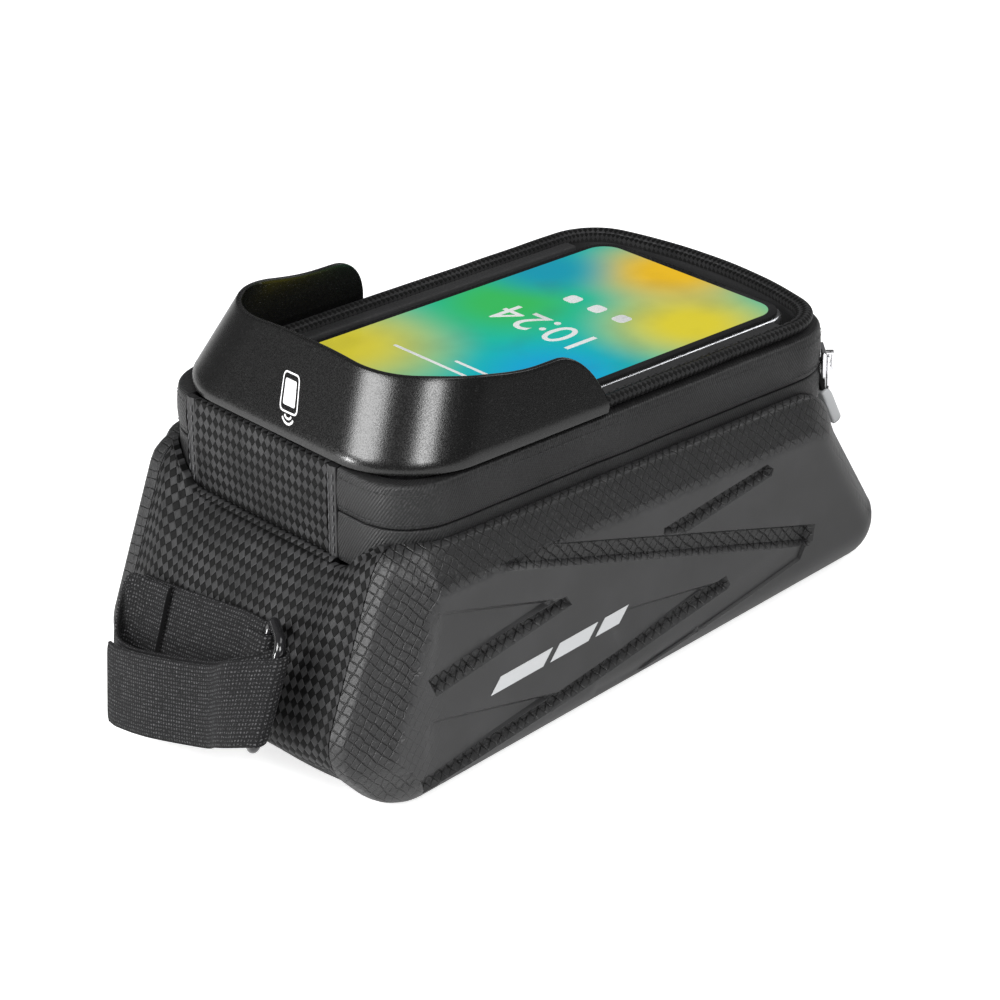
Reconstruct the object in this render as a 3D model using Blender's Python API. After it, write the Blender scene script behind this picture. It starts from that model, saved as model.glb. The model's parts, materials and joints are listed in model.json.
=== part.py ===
"""Top tube phone bag.

Two moulded side pods are sewn to a fabric gusset. A zipped lid with a clear window
holds a phone, with a sun visor round its front end, and hook-and-loop straps fix the
bag to a bicycle's top tube and head tube.

Sizes are in millimetres, and make_object turns them into metres. +X is the front end,
towards the head tube, +Y is the rider's left and +Z is up. The lid and its zip rise
towards the front by LID_PITCH, so they are drawn in a frame of their own, the lid
frame: its origin is the middle of the seam under the lid's rim, with x forward along
the lid and z square to it.
"""
import math

import bmesh
import bpy
from mathutils import Vector

for old in list(bpy.data.objects):
    bpy.data.objects.remove(old, do_unlink=True)

MM = 0.001

# Clearances
SEAT_GAP = 0.3
ZIP_RUNNING_GAP = 0.6
POD_TO_BAND_GAP = 0.7

# Lid outline, at the band's outer face
LID_WIDTH = 104.0
LID_FRONT_X = 86.4
LID_FRONT_RADIUS = 17.0
LID_REAR_CORNER_X = -64.5
LID_REAR_RADIUS = 20.0
LID_REAR_ARC_RADIUS = 140.0
LID_PITCH = math.radians(4.65)
LID_HEIGHT = 84.5

# Rim, window and band, measured down or up from the rim's seam
RIM_HEIGHT = 3.6
RIM_WIDTH = 5.0
RIM_INSET = 2.2
RIM_FRONT_RADIUS = 26.0
WINDOW_THICKNESS = 0.6
WINDOW_TOP = 2.7
BAND_WALL = 1.6
BAND_TOP_DROP = 0.6
BAND_TOP_ROUND = 1.4
TAPE_FLANGE = 4.6
TAPE_FLANGE_THICKNESS = 1.0
ZIP_DROP = 13.1
ZIP_SLOT = 1.2
BAND_DROP = 27.5
SEAM_STRIP_WIDTH = 3.7
SEAM_STRIP_THICKNESS = 0.9
FRONT_BAND_LEFT = 22.5
FRONT_BAND_RIGHT = 33.0
COIL_WIDTH = 1.2
COIL_HEIGHT = 1.3

# Phone and the pocket that holds it under the window
PHONE_LENGTH = 152.0
PHONE_WIDTH = 78.0
PHONE_THICKNESS = 8.0
PHONE_CORNER_RADIUS = 10.0
PHONE_EDGE_ROUND = 2.2
SCREEN_THICKNESS = 0.7
SCREEN_INSET = 1.3
POCKET_FIT = 1.0
POCKET_SHEET = 1.5
POCKET_STRAP_WIDTH = 30.0
POCKET_STRAP_THICKNESS = 1.4

# Sun visor
VISOR_THICKNESS = 1.5
VISOR_FRONT_HEIGHT = 23.5
VISOR_CORNER_HEIGHT = 22.5
VISOR_WING_HEIGHT = 18.2
VISOR_WING_END_X = 11.5
VISOR_WING_ROUND = 18.0
VISOR_FOOT = 2.5
VISOR_FRONT_LEAN = math.radians(29.3)
VISOR_SIDE_LEAN = math.radians(18.0)

# Side pods: corners of the seam outline at the ground, as x and height
POD_TOP_DROP = 16.5
POD_TOP_FRONT_X = 88.0
POD_TOP_REAR_X = -71.0
POD_NOSE_X = 114.5
POD_NOSE_HEIGHT = 20.0
POD_FOOT_FRONT_X = 98.5
POD_FOOT_REAR_X = -102.0
POD_CORNER_RADII = (12.0, 16.0, 16.0, 14.0, 18.0)
POD_EDGE_STEPS = (3, 2, 6, 6, 16)
POD_CORNER_STEPS = 6
POD_SEAM_Y = 45.0
POD_FACE_Y = 60.0
POD_WALL = 3.6
POD_SLOPE_WIDTH = 11.6
POD_ROUND_WIDTH = 13.0
GROOVE_DEPTH = 2.4
GROOVE_FLARE = 0.5

# Gusset: the strip of fabric from the front band, under the bag, to the rear band
GUSSET_WALL = 2.0
GUSSET_FRONT_CROWN = 3.2
GUSSET_FRONT_BELLY = 2.5
GUSSET_REAR_CROWN = 3.0
BASE_RECESS = 4.2
BASE_BOARD_THICKNESS = 1.5
BASE_BOARD_LENGTH = 150.0
BASE_BOARD_WIDTH = 76.0

# Front strap and its ring
STRAP_WIDTH = 24.5
STRAP_THICKNESS = 1.5
STRAP_REACH = 7.0
STRAP_DROOP = 13.0
PAD_LEFT_Y = -36.0
PAD_TAIL = 6.0
PAD_SLOPE = 0.12
RING_BAR_RADIUS = 1.5
RING_SPAN = 13.0
RING_TURN = math.radians(30.0)
RING_INNER_Y = 20.0
RING_HEIGHT = 38.0

# Straps under the base
BELLY_STRAP_WIDTH = 25.0
BELLY_STRAP_THICKNESS = 1.3
BELLY_STRAP_LENGTH = 62.0
BELLY_STRAP_X = (48.0, -46.0)
KEEPER_WIDTH = 8.0
KEEPER_THICKNESS = 1.0
STRAP_END_REACH = 5.0

# Zip sliders and their pulls
SLIDER_LENGTH = 9.0
SLIDER_HEIGHT = 7.6
SLIDER_PLATE = 1.2
SLIDER_NECK = 0.6
BRIDGE_WIDTH = 2.0
BRIDGE_WINDOW = 1.8
BRIDGE_BAR = 0.8
BRIDGE_LENGTH = 5.8
BRIDGE_POST = 1.0
# Where the sliders stand: the way along the zip from the start of the rear arc
SIDE_SLIDER_RUN = 9.0
REAR_SLIDER_RUN = 7.5
PULL_PLATE_LENGTH = 10.0
PULL_PLATE_WIDTH = 5.6
PULL_PLATE_THICKNESS = 0.9
PULL_FIT = 0.4
PULL_TAB_LENGTH = 24.0
PULL_TAB_WIDTH = 9.0
PULL_TAB_THICKNESS = 2.2
PULL_TAB_LEAN = math.radians(24.0)
PULL_END_LENGTH = 12.0

LID_HALF_WIDTH = LID_WIDTH / 2
KEEPER_Y = BELLY_STRAP_LENGTH / 2 - STRAP_END_REACH
FRONT_CORNER_X = LID_FRONT_X - LID_FRONT_RADIUS
FRONT_CORNER_Y = LID_HALF_WIDTH - LID_FRONT_RADIUS
REAR_CORNER_Y = LID_HALF_WIDTH - LID_REAR_RADIUS
REAR_ARC_TURN = math.asin(REAR_CORNER_Y / (LID_REAR_ARC_RADIUS - LID_REAR_RADIUS))
REAR_CORNER_TURN = math.pi / 2 - REAR_ARC_TURN
REAR_ARC_X = LID_REAR_CORNER_X + (LID_REAR_ARC_RADIUS - LID_REAR_RADIUS) * math.cos(REAR_ARC_TURN)


# Looks

def make_material(name, colour, roughness, metallic=0.0, alpha=1.0):
    material = bpy.data.materials.new(name)
    material.use_nodes = True
    shader = material.node_tree.nodes["Principled BSDF"]
    shader.inputs["Base Color"].default_value = (*colour, 1.0)
    shader.inputs["Roughness"].default_value = roughness
    shader.inputs["Metallic"].default_value = metallic
    shader.inputs["Alpha"].default_value = alpha
    material.diffuse_color = (*colour, alpha)
    return material


CHECKER_FABRIC = make_material("checker_fabric", (0.03, 0.03, 0.032), 0.45)
TAPE_FABRIC = make_material("tape_fabric", (0.06, 0.06, 0.063), 0.55)
RIM_FABRIC = make_material("rim_fabric", (0.035, 0.035, 0.037), 0.4)
POD_FOAM = make_material("pod_foam", (0.045, 0.045, 0.047), 0.5)
VISOR_PLASTIC = make_material("visor_plastic", (0.025, 0.025, 0.027), 0.38)
STRAP_FABRIC = make_material("strap_fabric", (0.035, 0.035, 0.038), 0.85)
RING_PLASTIC = make_material("ring_plastic", (0.01, 0.01, 0.01), 0.25)
BOARD_PLASTIC = make_material("board_plastic", (0.02, 0.02, 0.02), 0.6)
COIL_PLASTIC = make_material("coil_plastic", (0.02, 0.02, 0.02), 0.4)
CHROME = make_material("chrome", (0.8, 0.8, 0.82), 0.12, metallic=1.0)
PULL_RUBBER = make_material("pull_rubber", (0.62, 0.63, 0.64), 0.45)
CLEAR_FILM = make_material("clear_film", (0.9, 0.92, 0.93), 0.08, alpha=0.25)
PHONE_METAL = make_material("phone_metal", (0.32, 0.33, 0.35), 0.28, metallic=0.9)
PHONE_GLASS = make_material("phone_glass", (0.05, 0.35, 0.35), 0.06)


# Frames: an empty at a pivot, given in the coordinates that its pieces are drawn in

def make_frame(name, pivot, parent=None):
    empty = bpy.data.objects.new(name, None)
    bpy.context.scene.collection.objects.link(empty)
    base = Vector((0.0, 0.0, 0.0))
    if parent is not None:
        empty.parent = parent[0]
        base = parent[1]
    empty.location = (Vector(pivot) - base) * MM
    return empty, Vector(pivot)


def hide_as_guide(guide):
    guide.hide_render = True
    guide.display_type = "WIRE"


def make_object(name, vertices, faces, material, frame, sharp=35.0):
    empty, pivot = frame
    mesh = bpy.data.meshes.new(name)
    mesh.from_pydata([(Vector(v) - pivot) * MM for v in vertices], [], faces)
    work = bmesh.new()
    work.from_mesh(mesh)
    bmesh.ops.recalc_face_normals(work, faces=work.faces)
    work.to_mesh(mesh)
    work.free()
    mesh.materials.append(material)
    mesh.shade_smooth()
    mesh.set_sharp_from_angle(angle=math.radians(sharp))
    made = bpy.data.objects.new(name, mesh)
    bpy.context.scene.collection.objects.link(made)
    made.parent = empty
    return made


def combine(target, other, operation):
    change = target.modifiers.new(other.name, "BOOLEAN")
    change.operation = operation
    change.solver = "EXACT"
    change.object = other
    hide_as_guide(other)


# Solids from rows of points

def loft(sections, wrap):
    """Closed sections joined in a row; with wrap the last one meets the first."""
    count = len(sections[0])
    vertices = [point for section in sections for point in section]
    faces = []
    steps = len(sections) if wrap else len(sections) - 1
    for step in range(steps):
        here = step * count
        there = (step + 1) % len(sections) * count
        for i in range(count):
            j = (i + 1) % count
            faces.append((here + i, here + j, there + j, there + i))
    if not wrap:
        faces.append(tuple(range(count)))
        faces.append(tuple(reversed(range(steps * count, steps * count + count))))
    return vertices, faces


def sheet(outer, inner):
    """A sheet with thickness: two grids of points, joined round their edges."""
    rows = len(outer)
    count = len(outer[0])
    vertices = [point for row in outer for point in row]
    vertices += [point for row in inner for point in row]
    back = rows * count
    faces = []
    for r in range(rows - 1):
        for i in range(count - 1):
            a = r * count + i
            quad = (a, a + 1, a + count + 1, a + count)
            faces.append(quad)
            faces.append(tuple(back + v for v in reversed(quad)))
        for i in (0, count - 1):
            a = r * count + i
            faces.append((a, a + count, back + a + count, back + a))
    for r in (0, rows - 1):
        for i in range(count - 1):
            a = r * count + i
            faces.append((a, a + 1, back + a + 1, back + a))
    return vertices, faces


def slab(outline, low, high):
    """A flat plate: an outline in x and y between two heights."""
    bottom = [(x, y, low) for x, y in outline]
    top = [(x, y, high) for x, y in outline]
    return loft([bottom, top], wrap=False)


def block(centre, size, turn=0.0):
    """A box, turned about the z axis."""
    half = [value / 2 for value in size]
    corners = [(half[0], half[1]), (-half[0], half[1]), (-half[0], -half[1]), (half[0], -half[1])]
    outline = []
    for x, y in corners:
        outline.append((
            centre[0] + x * math.cos(turn) - y * math.sin(turn),
            centre[1] + x * math.sin(turn) + y * math.cos(turn),
        ))
    return slab(outline, centre[2] - half[2], centre[2] + half[2])


def rounded_rectangle(length, width, radius, middle=(0.0, 0.0), steps=6):
    outline = []
    for corner in range(4):
        start = corner * math.pi / 2
        sign_x = 1 if corner in (0, 3) else -1
        sign_y = 1 if corner in (0, 1) else -1
        for step in range(steps + 1):
            angle = start + step * math.pi / 2 / steps
            x = middle[0] + sign_x * (length / 2 - radius) + radius * math.cos(angle)
            y = middle[1] + sign_y * (width / 2 - radius) + radius * math.sin(angle)
            outline.append((x, y))
    return outline


def smooth_curve(points, steps):
    """A curve through the points, as a Catmull-Rom spline."""
    vectors = [Vector(p) for p in points]
    first = vectors[0] * 2 - vectors[1]
    last = vectors[-1] * 2 - vectors[-2]
    full = [first] + vectors + [last]
    curve = []
    for k in range(1, len(full) - 2):
        a, b, c, d = full[k - 1:k + 3]
        for step in range(steps):
            t = step / steps
            curve.append(0.5 * (2 * b + (c - a) * t + (2 * a - 5 * b + 4 * c - d) * t * t
                                + (3 * b - a - 3 * c + d) * t ** 3))
    curve.append(vectors[-1])
    return curve


def smooth_step(value, start, end):
    share = min(1.0, max(0.0, (value - start) / (end - start)))
    return share * share * (3 - 2 * share)


# The lid's outline: s runs round it from the middle of the front, positive to the left

def outline_marks(front_radius):
    """Where the outline's front corner, side, rear corner and rear arc start, and its half length."""
    corner = LID_HALF_WIDTH - front_radius
    side = corner + front_radius * math.pi / 2
    rear_corner = side + LID_FRONT_X - front_radius - LID_REAR_CORNER_X
    arc = rear_corner + LID_REAR_RADIUS * REAR_CORNER_TURN
    return corner, side, rear_corner, arc, arc + LID_REAR_ARC_RADIUS * REAR_ARC_TURN


def lid_point(s, offset=0.0, front_radius=LID_FRONT_RADIUS):
    corner, side_start, rear_corner, arc, end = outline_marks(front_radius)
    side = -1.0 if s < 0 else 1.0
    run = abs(s)
    if run <= corner:
        x, y, angle = LID_FRONT_X, run, 0.0
    elif run <= side_start:
        angle = (run - corner) / front_radius
        x = LID_FRONT_X - front_radius + front_radius * math.cos(angle)
        y = corner + front_radius * math.sin(angle)
    elif run <= rear_corner:
        x, y, angle = LID_FRONT_X - front_radius - (run - side_start), LID_HALF_WIDTH, math.pi / 2
    elif run <= arc:
        angle = math.pi / 2 + (run - rear_corner) / LID_REAR_RADIUS
        x = LID_REAR_CORNER_X + LID_REAR_RADIUS * math.cos(angle)
        y = REAR_CORNER_Y + LID_REAR_RADIUS * math.sin(angle)
    else:
        angle = math.pi - (end - run) / LID_REAR_ARC_RADIUS
        x = REAR_ARC_X + LID_REAR_ARC_RADIUS * math.cos(angle)
        y = LID_REAR_ARC_RADIUS * math.sin(angle)
    return x + offset * math.cos(angle), side * (y + offset * math.sin(angle))


def rim_point(s, offset=0.0):
    """The rim's outline lies inside the band's, and takes the wider bend of the visor."""
    return lid_point(s, offset - RIM_INSET, RIM_FRONT_RADIUS)


STRETCH_STEPS = (2, 7, 5, 6, 4)


def lid_stations(front_radius=LID_FRONT_RADIUS):
    stations = [0.0]
    start = 0.0
    for end, steps in zip(outline_marks(front_radius), STRETCH_STEPS):
        for step in range(1, steps + 1):
            stations.append(start + (end - start) * step / steps)
        start = end
    mirrored = [-s for s in reversed(stations[1:-1])]
    return mirrored + stations


def lid_run(start, end, front_radius=LID_FRONT_RADIUS):
    """Stations of the outline between two values of s, with both ends."""
    closeness = 0.5
    between = [s for s in lid_stations(front_radius) if start + closeness < s < end - closeness]
    return [start] + between + [end]


def rear_run(left_start, right_start):
    """Stations from the left, round the rear, to the right."""
    left = [s for s in lid_stations() if s > left_start]
    right = [s for s in lid_stations() if s < right_start]
    return [left_start] + left + right + [right_start]


def lid_strip(section, stations, wrap):
    """A strip along the lid's outline; its section is in offset and height."""
    sections = []
    for s in stations:
        ring = []
        for offset, height in section:
            x, y = lid_point(s, offset)
            ring.append((x, y, height))
        sections.append(ring)
    return loft(sections, wrap)


def rim_loop(offset):
    return [rim_point(s, offset) for s in lid_stations(RIM_FRONT_RADIUS)]


def lid_half_width_at(x):
    over = x - FRONT_CORNER_X
    if over > 0:
        reach = LID_FRONT_RADIUS ** 2 - over ** 2
        return FRONT_CORNER_Y + math.sqrt(reach) if reach > 0 else 0.0
    if x > LID_REAR_CORNER_X:
        return LID_HALF_WIDTH
    if x > LID_REAR_CORNER_X - LID_REAR_RADIUS * math.sin(REAR_CORNER_TURN):
        return REAR_CORNER_Y + math.sqrt(LID_REAR_RADIUS ** 2 - (x - LID_REAR_CORNER_X) ** 2)
    reach = LID_REAR_ARC_RADIUS ** 2 - (x - REAR_ARC_X) ** 2
    return math.sqrt(reach) if reach > 0 else 0.0


def lid_front_x_at(y):
    over = abs(y) - FRONT_CORNER_Y
    if over <= 0:
        return LID_FRONT_X
    return FRONT_CORNER_X + math.sqrt(max(0.0, LID_FRONT_RADIUS ** 2 - over ** 2))


def lid_rear_x_at(y):
    if abs(y) <= LID_REAR_ARC_RADIUS * math.sin(REAR_ARC_TURN):
        return REAR_ARC_X - math.sqrt(LID_REAR_ARC_RADIUS ** 2 - y ** 2)
    over = abs(y) - REAR_CORNER_Y
    return LID_REAR_CORNER_X - math.sqrt(max(0.0, LID_REAR_RADIUS ** 2 - over ** 2))


def lid_to_bag(x, z):
    """x and height in the bag of a point given in the lid frame."""
    bag_x = x * math.cos(LID_PITCH) - z * math.sin(LID_PITCH)
    bag_z = x * math.sin(LID_PITCH) + z * math.cos(LID_PITCH) + LID_HEIGHT
    return bag_x, bag_z


def bag_to_lid(x, z):
    height = z - LID_HEIGHT
    lid_x = x * math.cos(LID_PITCH) + height * math.sin(LID_PITCH)
    lid_z = height * math.cos(LID_PITCH) - x * math.sin(LID_PITCH)
    return lid_x, lid_z


# Frames of the bag, the lid and the sliders

HINGE_X = LID_FRONT_X + SEAT_GAP
bag_frame = make_frame("bag", (0.0, 0.0, 0.0))
band_frame = make_frame("band_frame", (0.0, 0.0, 0.0), bag_frame)
band_frame[0].location = (0.0, 0.0, LID_HEIGHT * MM)
band_frame[0].rotation_euler = (0.0, -LID_PITCH, 0.0)
lid_frame = make_frame("lid_hinge", (HINGE_X, 0.0, 0.0), band_frame)


# Lid: rim, window, upper zip tape, pocket and phone

def make_rim():
    bead = RIM_HEIGHT / 2
    section = []
    for step in range(9):
        angle = -math.pi / 2 + step * math.pi / 8
        section.append((-bead + bead * math.cos(angle), bead + bead * math.sin(angle)))
    section.append((-RIM_WIDTH + 1.0, RIM_HEIGHT - 0.3))
    section.append((-RIM_WIDTH, RIM_HEIGHT - 1.0))
    section.append((-RIM_WIDTH, 0.4))
    sections = []
    for s in lid_stations(RIM_FRONT_RADIUS):
        sections.append([(*rim_point(s, offset), height) for offset, height in section])
    vertices, faces = loft(sections, wrap=True)
    make_object("lid_rim", vertices, faces, RIM_FABRIC, lid_frame)


def make_window():
    outline = rim_loop(-RIM_WIDTH - SEAT_GAP)
    vertices, faces = slab(outline, WINDOW_TOP - WINDOW_THICKNESS, WINDOW_TOP)
    make_object("phone_window", vertices, faces, CLEAR_FILM, lid_frame)


TAPE_LEFT = FRONT_BAND_LEFT + SEAM_STRIP_WIDTH + SEAT_GAP
TAPE_RIGHT = -FRONT_BAND_RIGHT - SEAM_STRIP_WIDTH - SEAT_GAP
COIL_OUTER = -BAND_WALL - SEAT_GAP


def make_upper_tape():
    low = -ZIP_DROP + ZIP_SLOT / 2
    top = -BAND_TOP_DROP
    under = top - TAPE_FLANGE_THICKNESS
    section = [
        (0.0, low), (0.0, top - BAND_TOP_ROUND), (-BAND_TOP_ROUND * 0.3, top - BAND_TOP_ROUND * 0.3),
        (-BAND_TOP_ROUND, top), (-TAPE_FLANGE, top), (-TAPE_FLANGE, under),
        (-BAND_WALL - TAPE_FLANGE_THICKNESS, under), (-BAND_WALL, under - TAPE_FLANGE_THICKNESS),
        (-BAND_WALL, low),
    ]
    vertices, faces = lid_strip(section, rear_run(TAPE_LEFT, TAPE_RIGHT), wrap=False)
    make_object("upper_zip_tape", vertices, faces, TAPE_FABRIC, lid_frame)
    make_coil("upper_zip_coil", low, low + COIL_HEIGHT, lid_frame)


def make_lower_tape():
    high = -ZIP_DROP - ZIP_SLOT / 2
    section = [(0.0, -BAND_DROP), (0.0, high), (-BAND_WALL, high), (-BAND_WALL, -BAND_DROP)]
    vertices, faces = lid_strip(section, rear_run(TAPE_LEFT, TAPE_RIGHT), wrap=False)
    make_object("lower_zip_tape", vertices, faces, TAPE_FABRIC, band_frame)
    make_coil("lower_zip_coil", high - COIL_HEIGHT, high, band_frame)


def make_coil(name, low, high, frame):
    inner = COIL_OUTER - COIL_WIDTH
    section = [(COIL_OUTER, low), (COIL_OUTER, high), (inner, high), (inner, low)]
    vertices, faces = lid_strip(section, rear_run(TAPE_LEFT, TAPE_RIGHT), wrap=False)
    make_object(name, vertices, faces, COIL_PLASTIC, frame)


def make_front_band():
    low = -BAND_DROP
    high = -BAND_TOP_DROP
    section = [(0.0, low), (0.0, high), (-BAND_WALL, high), (-BAND_WALL, low)]
    stations = lid_run(-FRONT_BAND_RIGHT, FRONT_BAND_LEFT)
    vertices, faces = lid_strip(section, stations, wrap=False)
    make_object("front_band", vertices, faces, CHECKER_FABRIC, band_frame)


def make_seam_strip(name, side, band_end):
    start = side * (band_end + SEAT_GAP)
    end = side * (band_end + SEAM_STRIP_WIDTH)
    inner = -BAND_WALL
    outer = SEAM_STRIP_THICKNESS - SEAT_GAP
    section = [(outer, -BAND_DROP), (outer, -BAND_TOP_DROP), (inner, -BAND_TOP_DROP), (inner, -BAND_DROP)]
    vertices, faces = lid_strip(section, [start, (start + end) / 2, end], wrap=False)
    make_object(name, vertices, faces, RIM_FABRIC, band_frame)


PHONE_TOP = WINDOW_TOP - WINDOW_THICKNESS - SEAT_GAP
PHONE_BOTTOM = PHONE_TOP - PHONE_THICKNESS
POCKET_TOP = PHONE_BOTTOM - SEAT_GAP


def make_phone():
    back = PHONE_TOP - SCREEN_THICKNESS - SEAT_GAP
    levels = (
        (PHONE_BOTTOM, PHONE_EDGE_ROUND),
        (PHONE_BOTTOM + PHONE_EDGE_ROUND * 0.3, PHONE_EDGE_ROUND * 0.3),
        (PHONE_BOTTOM + PHONE_EDGE_ROUND, 0.0),
        (back - PHONE_EDGE_ROUND * 0.6, 0.0),
        (back, PHONE_EDGE_ROUND * 0.3),
    )
    sections = []
    for height, inset in levels:
        outline = rounded_rectangle(
            PHONE_LENGTH - 2 * inset, PHONE_WIDTH - 2 * inset, PHONE_CORNER_RADIUS - inset)
        sections.append([(x, y, height) for x, y in outline])
    vertices, faces = loft(sections, wrap=False)
    make_object("phone_body", vertices, faces, PHONE_METAL, lid_frame)
    outline = rounded_rectangle(
        PHONE_LENGTH - 2 * SCREEN_INSET,
        PHONE_WIDTH - 2 * SCREEN_INSET,
        PHONE_CORNER_RADIUS - SCREEN_INSET)
    vertices, faces = slab(outline, PHONE_TOP - SCREEN_THICKNESS, PHONE_TOP)
    make_object("phone_screen", vertices, faces, PHONE_GLASS, lid_frame)


def make_pocket():
    """Padded border round the phone, and the sheet and strap that hold it from below."""
    side = LID_HALF_WIDTH - TAPE_FLANGE
    pad_top = WINDOW_TOP - WINDOW_THICKNESS - SEAT_GAP
    inner_length = PHONE_LENGTH + 2 * POCKET_FIT
    inner_width = PHONE_WIDTH + 2 * POCKET_FIT
    rim_under = -SEAT_GAP
    for name, sign in (("left_pocket_pad", 1), ("right_pocket_pad", -1)):
        low_y = inner_width / 2
        wall_y = side - SEAT_GAP
        inside_y = LID_HALF_WIDTH - RIM_INSET - RIM_WIDTH - SEAT_GAP
        profile = [
            (low_y, POCKET_TOP + SEAT_GAP), (wall_y, POCKET_TOP + SEAT_GAP), (wall_y, rim_under),
            (inside_y, rim_under), (inside_y, pad_top), (low_y, pad_top),
        ]
        sections = []
        for x in (LID_REAR_CORNER_X, LID_FRONT_X - RIM_FRONT_RADIUS):
            sections.append([(x, sign * y, z) for y, z in profile])
        vertices, faces = loft(sections, wrap=False)
        make_object(name, vertices, faces, BOARD_PLASTIC, lid_frame)
    coil_clear = COIL_OUTER - COIL_WIDTH - SLIDER_PLATE - 3 * ZIP_RUNNING_GAP
    outline = rim_loop(coil_clear + RIM_INSET)
    vertices, faces = slab(outline, POCKET_TOP - POCKET_SHEET, POCKET_TOP)
    make_object("phone_pocket", vertices, faces, TAPE_FABRIC, lid_frame)
    strap_top = POCKET_TOP - POCKET_SHEET - SEAT_GAP
    outline = rounded_rectangle(POCKET_STRAP_WIDTH, PHONE_WIDTH, POCKET_STRAP_WIDTH / 6)
    vertices, faces = slab(outline, strap_top - POCKET_STRAP_THICKNESS, strap_top)
    make_object("pocket_strap", vertices, faces, STRAP_FABRIC, lid_frame)


VISOR_CORNER_S, VISOR_SIDE_S = outline_marks(RIM_FRONT_RADIUS)[:2]
VISOR_WING_LENGTH = LID_FRONT_X - RIM_FRONT_RADIUS - VISOR_WING_END_X


def visor_height(s):
    """Height of the visor's top edge over its foot, at s on the rim's outline."""
    run = abs(s)
    x, y = rim_point(run)
    corner = (VISOR_CORNER_S + VISOR_SIDE_S) / 2
    if run <= corner:
        share = smooth_step(run, VISOR_CORNER_S * 0.3, corner)
        return VISOR_FRONT_HEIGHT + (VISOR_CORNER_HEIGHT - VISOR_FRONT_HEIGHT) * share
    share = smooth_step(run, corner, VISOR_SIDE_S + VISOR_WING_LENGTH / 2)
    height = VISOR_CORNER_HEIGHT + (VISOR_WING_HEIGHT - VISOR_CORNER_HEIGHT) * share
    over = (VISOR_WING_END_X + VISOR_WING_ROUND - x) / VISOR_WING_ROUND
    if over > 0:
        height *= max(0.06, math.sqrt(max(0.0, 1 - over * over)))
    return height


def visor_point(s, share, offset):
    """A point of the visor; it leans in, and keeps its bend radius up to the top."""
    x, y = rim_point(s, offset)
    height = share * visor_height(s)
    run = abs(s)
    side = -1.0 if s < 0 else 1.0
    across = min(1.0, run / VISOR_CORNER_S)
    along = 1.0
    if run > VISOR_SIDE_S:
        along = max(0.0, (x - VISOR_WING_END_X) / VISOR_WING_LENGTH)
    leaning = max(0.0, height - VISOR_FOOT)
    lean_x = leaning * math.tan(VISOR_FRONT_LEAN) * along
    lean_y = leaning * math.tan(VISOR_SIDE_LEAN) * across * side
    return x - lean_x, y - lean_y, SEAT_GAP + height


def make_visor():
    stations = lid_run(-VISOR_SIDE_S, VISOR_SIDE_S, RIM_FRONT_RADIUS)
    wing = []
    steps = 12
    for step in range(1, steps + 1):
        share = math.sin(step / steps * math.pi / 2)
        wing.append(VISOR_SIDE_S + VISOR_WING_LENGTH * share)
    stations = [-s for s in reversed(wing)] + stations + wing
    levels = (0.0, 0.11, 0.4, 0.7, 1.0)
    outer = []
    inner = []
    for s in stations:
        outer.append([visor_point(s, share, SEAT_GAP + VISOR_THICKNESS) for share in levels])
        inner.append([visor_point(s, share, SEAT_GAP) for share in levels])
    vertices, faces = sheet(outer, inner)
    make_object("sun_visor", vertices, faces, VISOR_PLASTIC, lid_frame, sharp=50.0)


# Side pods

def pod_corners():
    top_front = lid_to_bag(POD_TOP_FRONT_X, -POD_TOP_DROP)
    top_rear = lid_to_bag(POD_TOP_REAR_X, -POD_TOP_DROP)
    return [
        top_front,
        (POD_NOSE_X, POD_NOSE_HEIGHT),
        (POD_FOOT_FRONT_X, 0.0),
        (POD_FOOT_REAR_X, 0.0),
        top_rear,
    ]


def inset_corners(corners, inset):
    """Corners of a clockwise outline whose edges have all moved inwards."""
    moved = []
    count = len(corners)
    for k in range(count):
        before = Vector(corners[k - 1])
        here = Vector(corners[k])
        after = Vector(corners[(k + 1) % count])
        one = (here - before).normalized()
        two = (after - here).normalized()
        inward_one = Vector((one.y, -one.x))
        inward_two = Vector((two.y, -two.x))
        bisector = (inward_one + inward_two).normalized()
        moved.append(here + bisector * (inset / bisector.dot(inward_one)))
    return moved


def pod_outline(inset):
    """Points of the pod's outline, and its outward directions, from the top front corner."""
    corners = inset_corners(pod_corners(), inset)
    count = len(corners)
    arcs = []
    for k in range(count):
        before = corners[k - 1]
        here = corners[k]
        after = corners[(k + 1) % count]
        one = (here - before).normalized()
        two = (after - here).normalized()
        turn = one.angle(two)
        radius = max(POD_CORNER_RADII[k] - inset, 1.5)
        reach = radius * math.tan(turn / 2)
        centre = here - one * reach + Vector((one.y, -one.x)) * radius
        out_start = Vector((-one.y, one.x))
        arc = []
        for step in range(POD_CORNER_STEPS + 1):
            angle = -turn * step / POD_CORNER_STEPS
            out = Vector((
                out_start.x * math.cos(angle) - out_start.y * math.sin(angle),
                out_start.x * math.sin(angle) + out_start.y * math.cos(angle),
            ))
            arc.append((centre + out * radius, out))
        arcs.append(arc)
    points = []
    for k in range(count):
        points += arcs[k]
        start, out = arcs[k][-1]
        end = arcs[(k + 1) % count][0][0]
        steps = POD_EDGE_STEPS[k]
        for step in range(1, steps):
            share = (1 - math.cos(math.pi * step / steps)) / 2
            points.append((start.lerp(end, share), out))
    return points


POD_SLOPE_PROFILE = (
    (0.0, 0.0), (0.03, 0.22), (0.14, 0.42), (0.74, 0.83), (0.83, 0.89), (0.9, 0.98), (1.0, 1.0))


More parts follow.
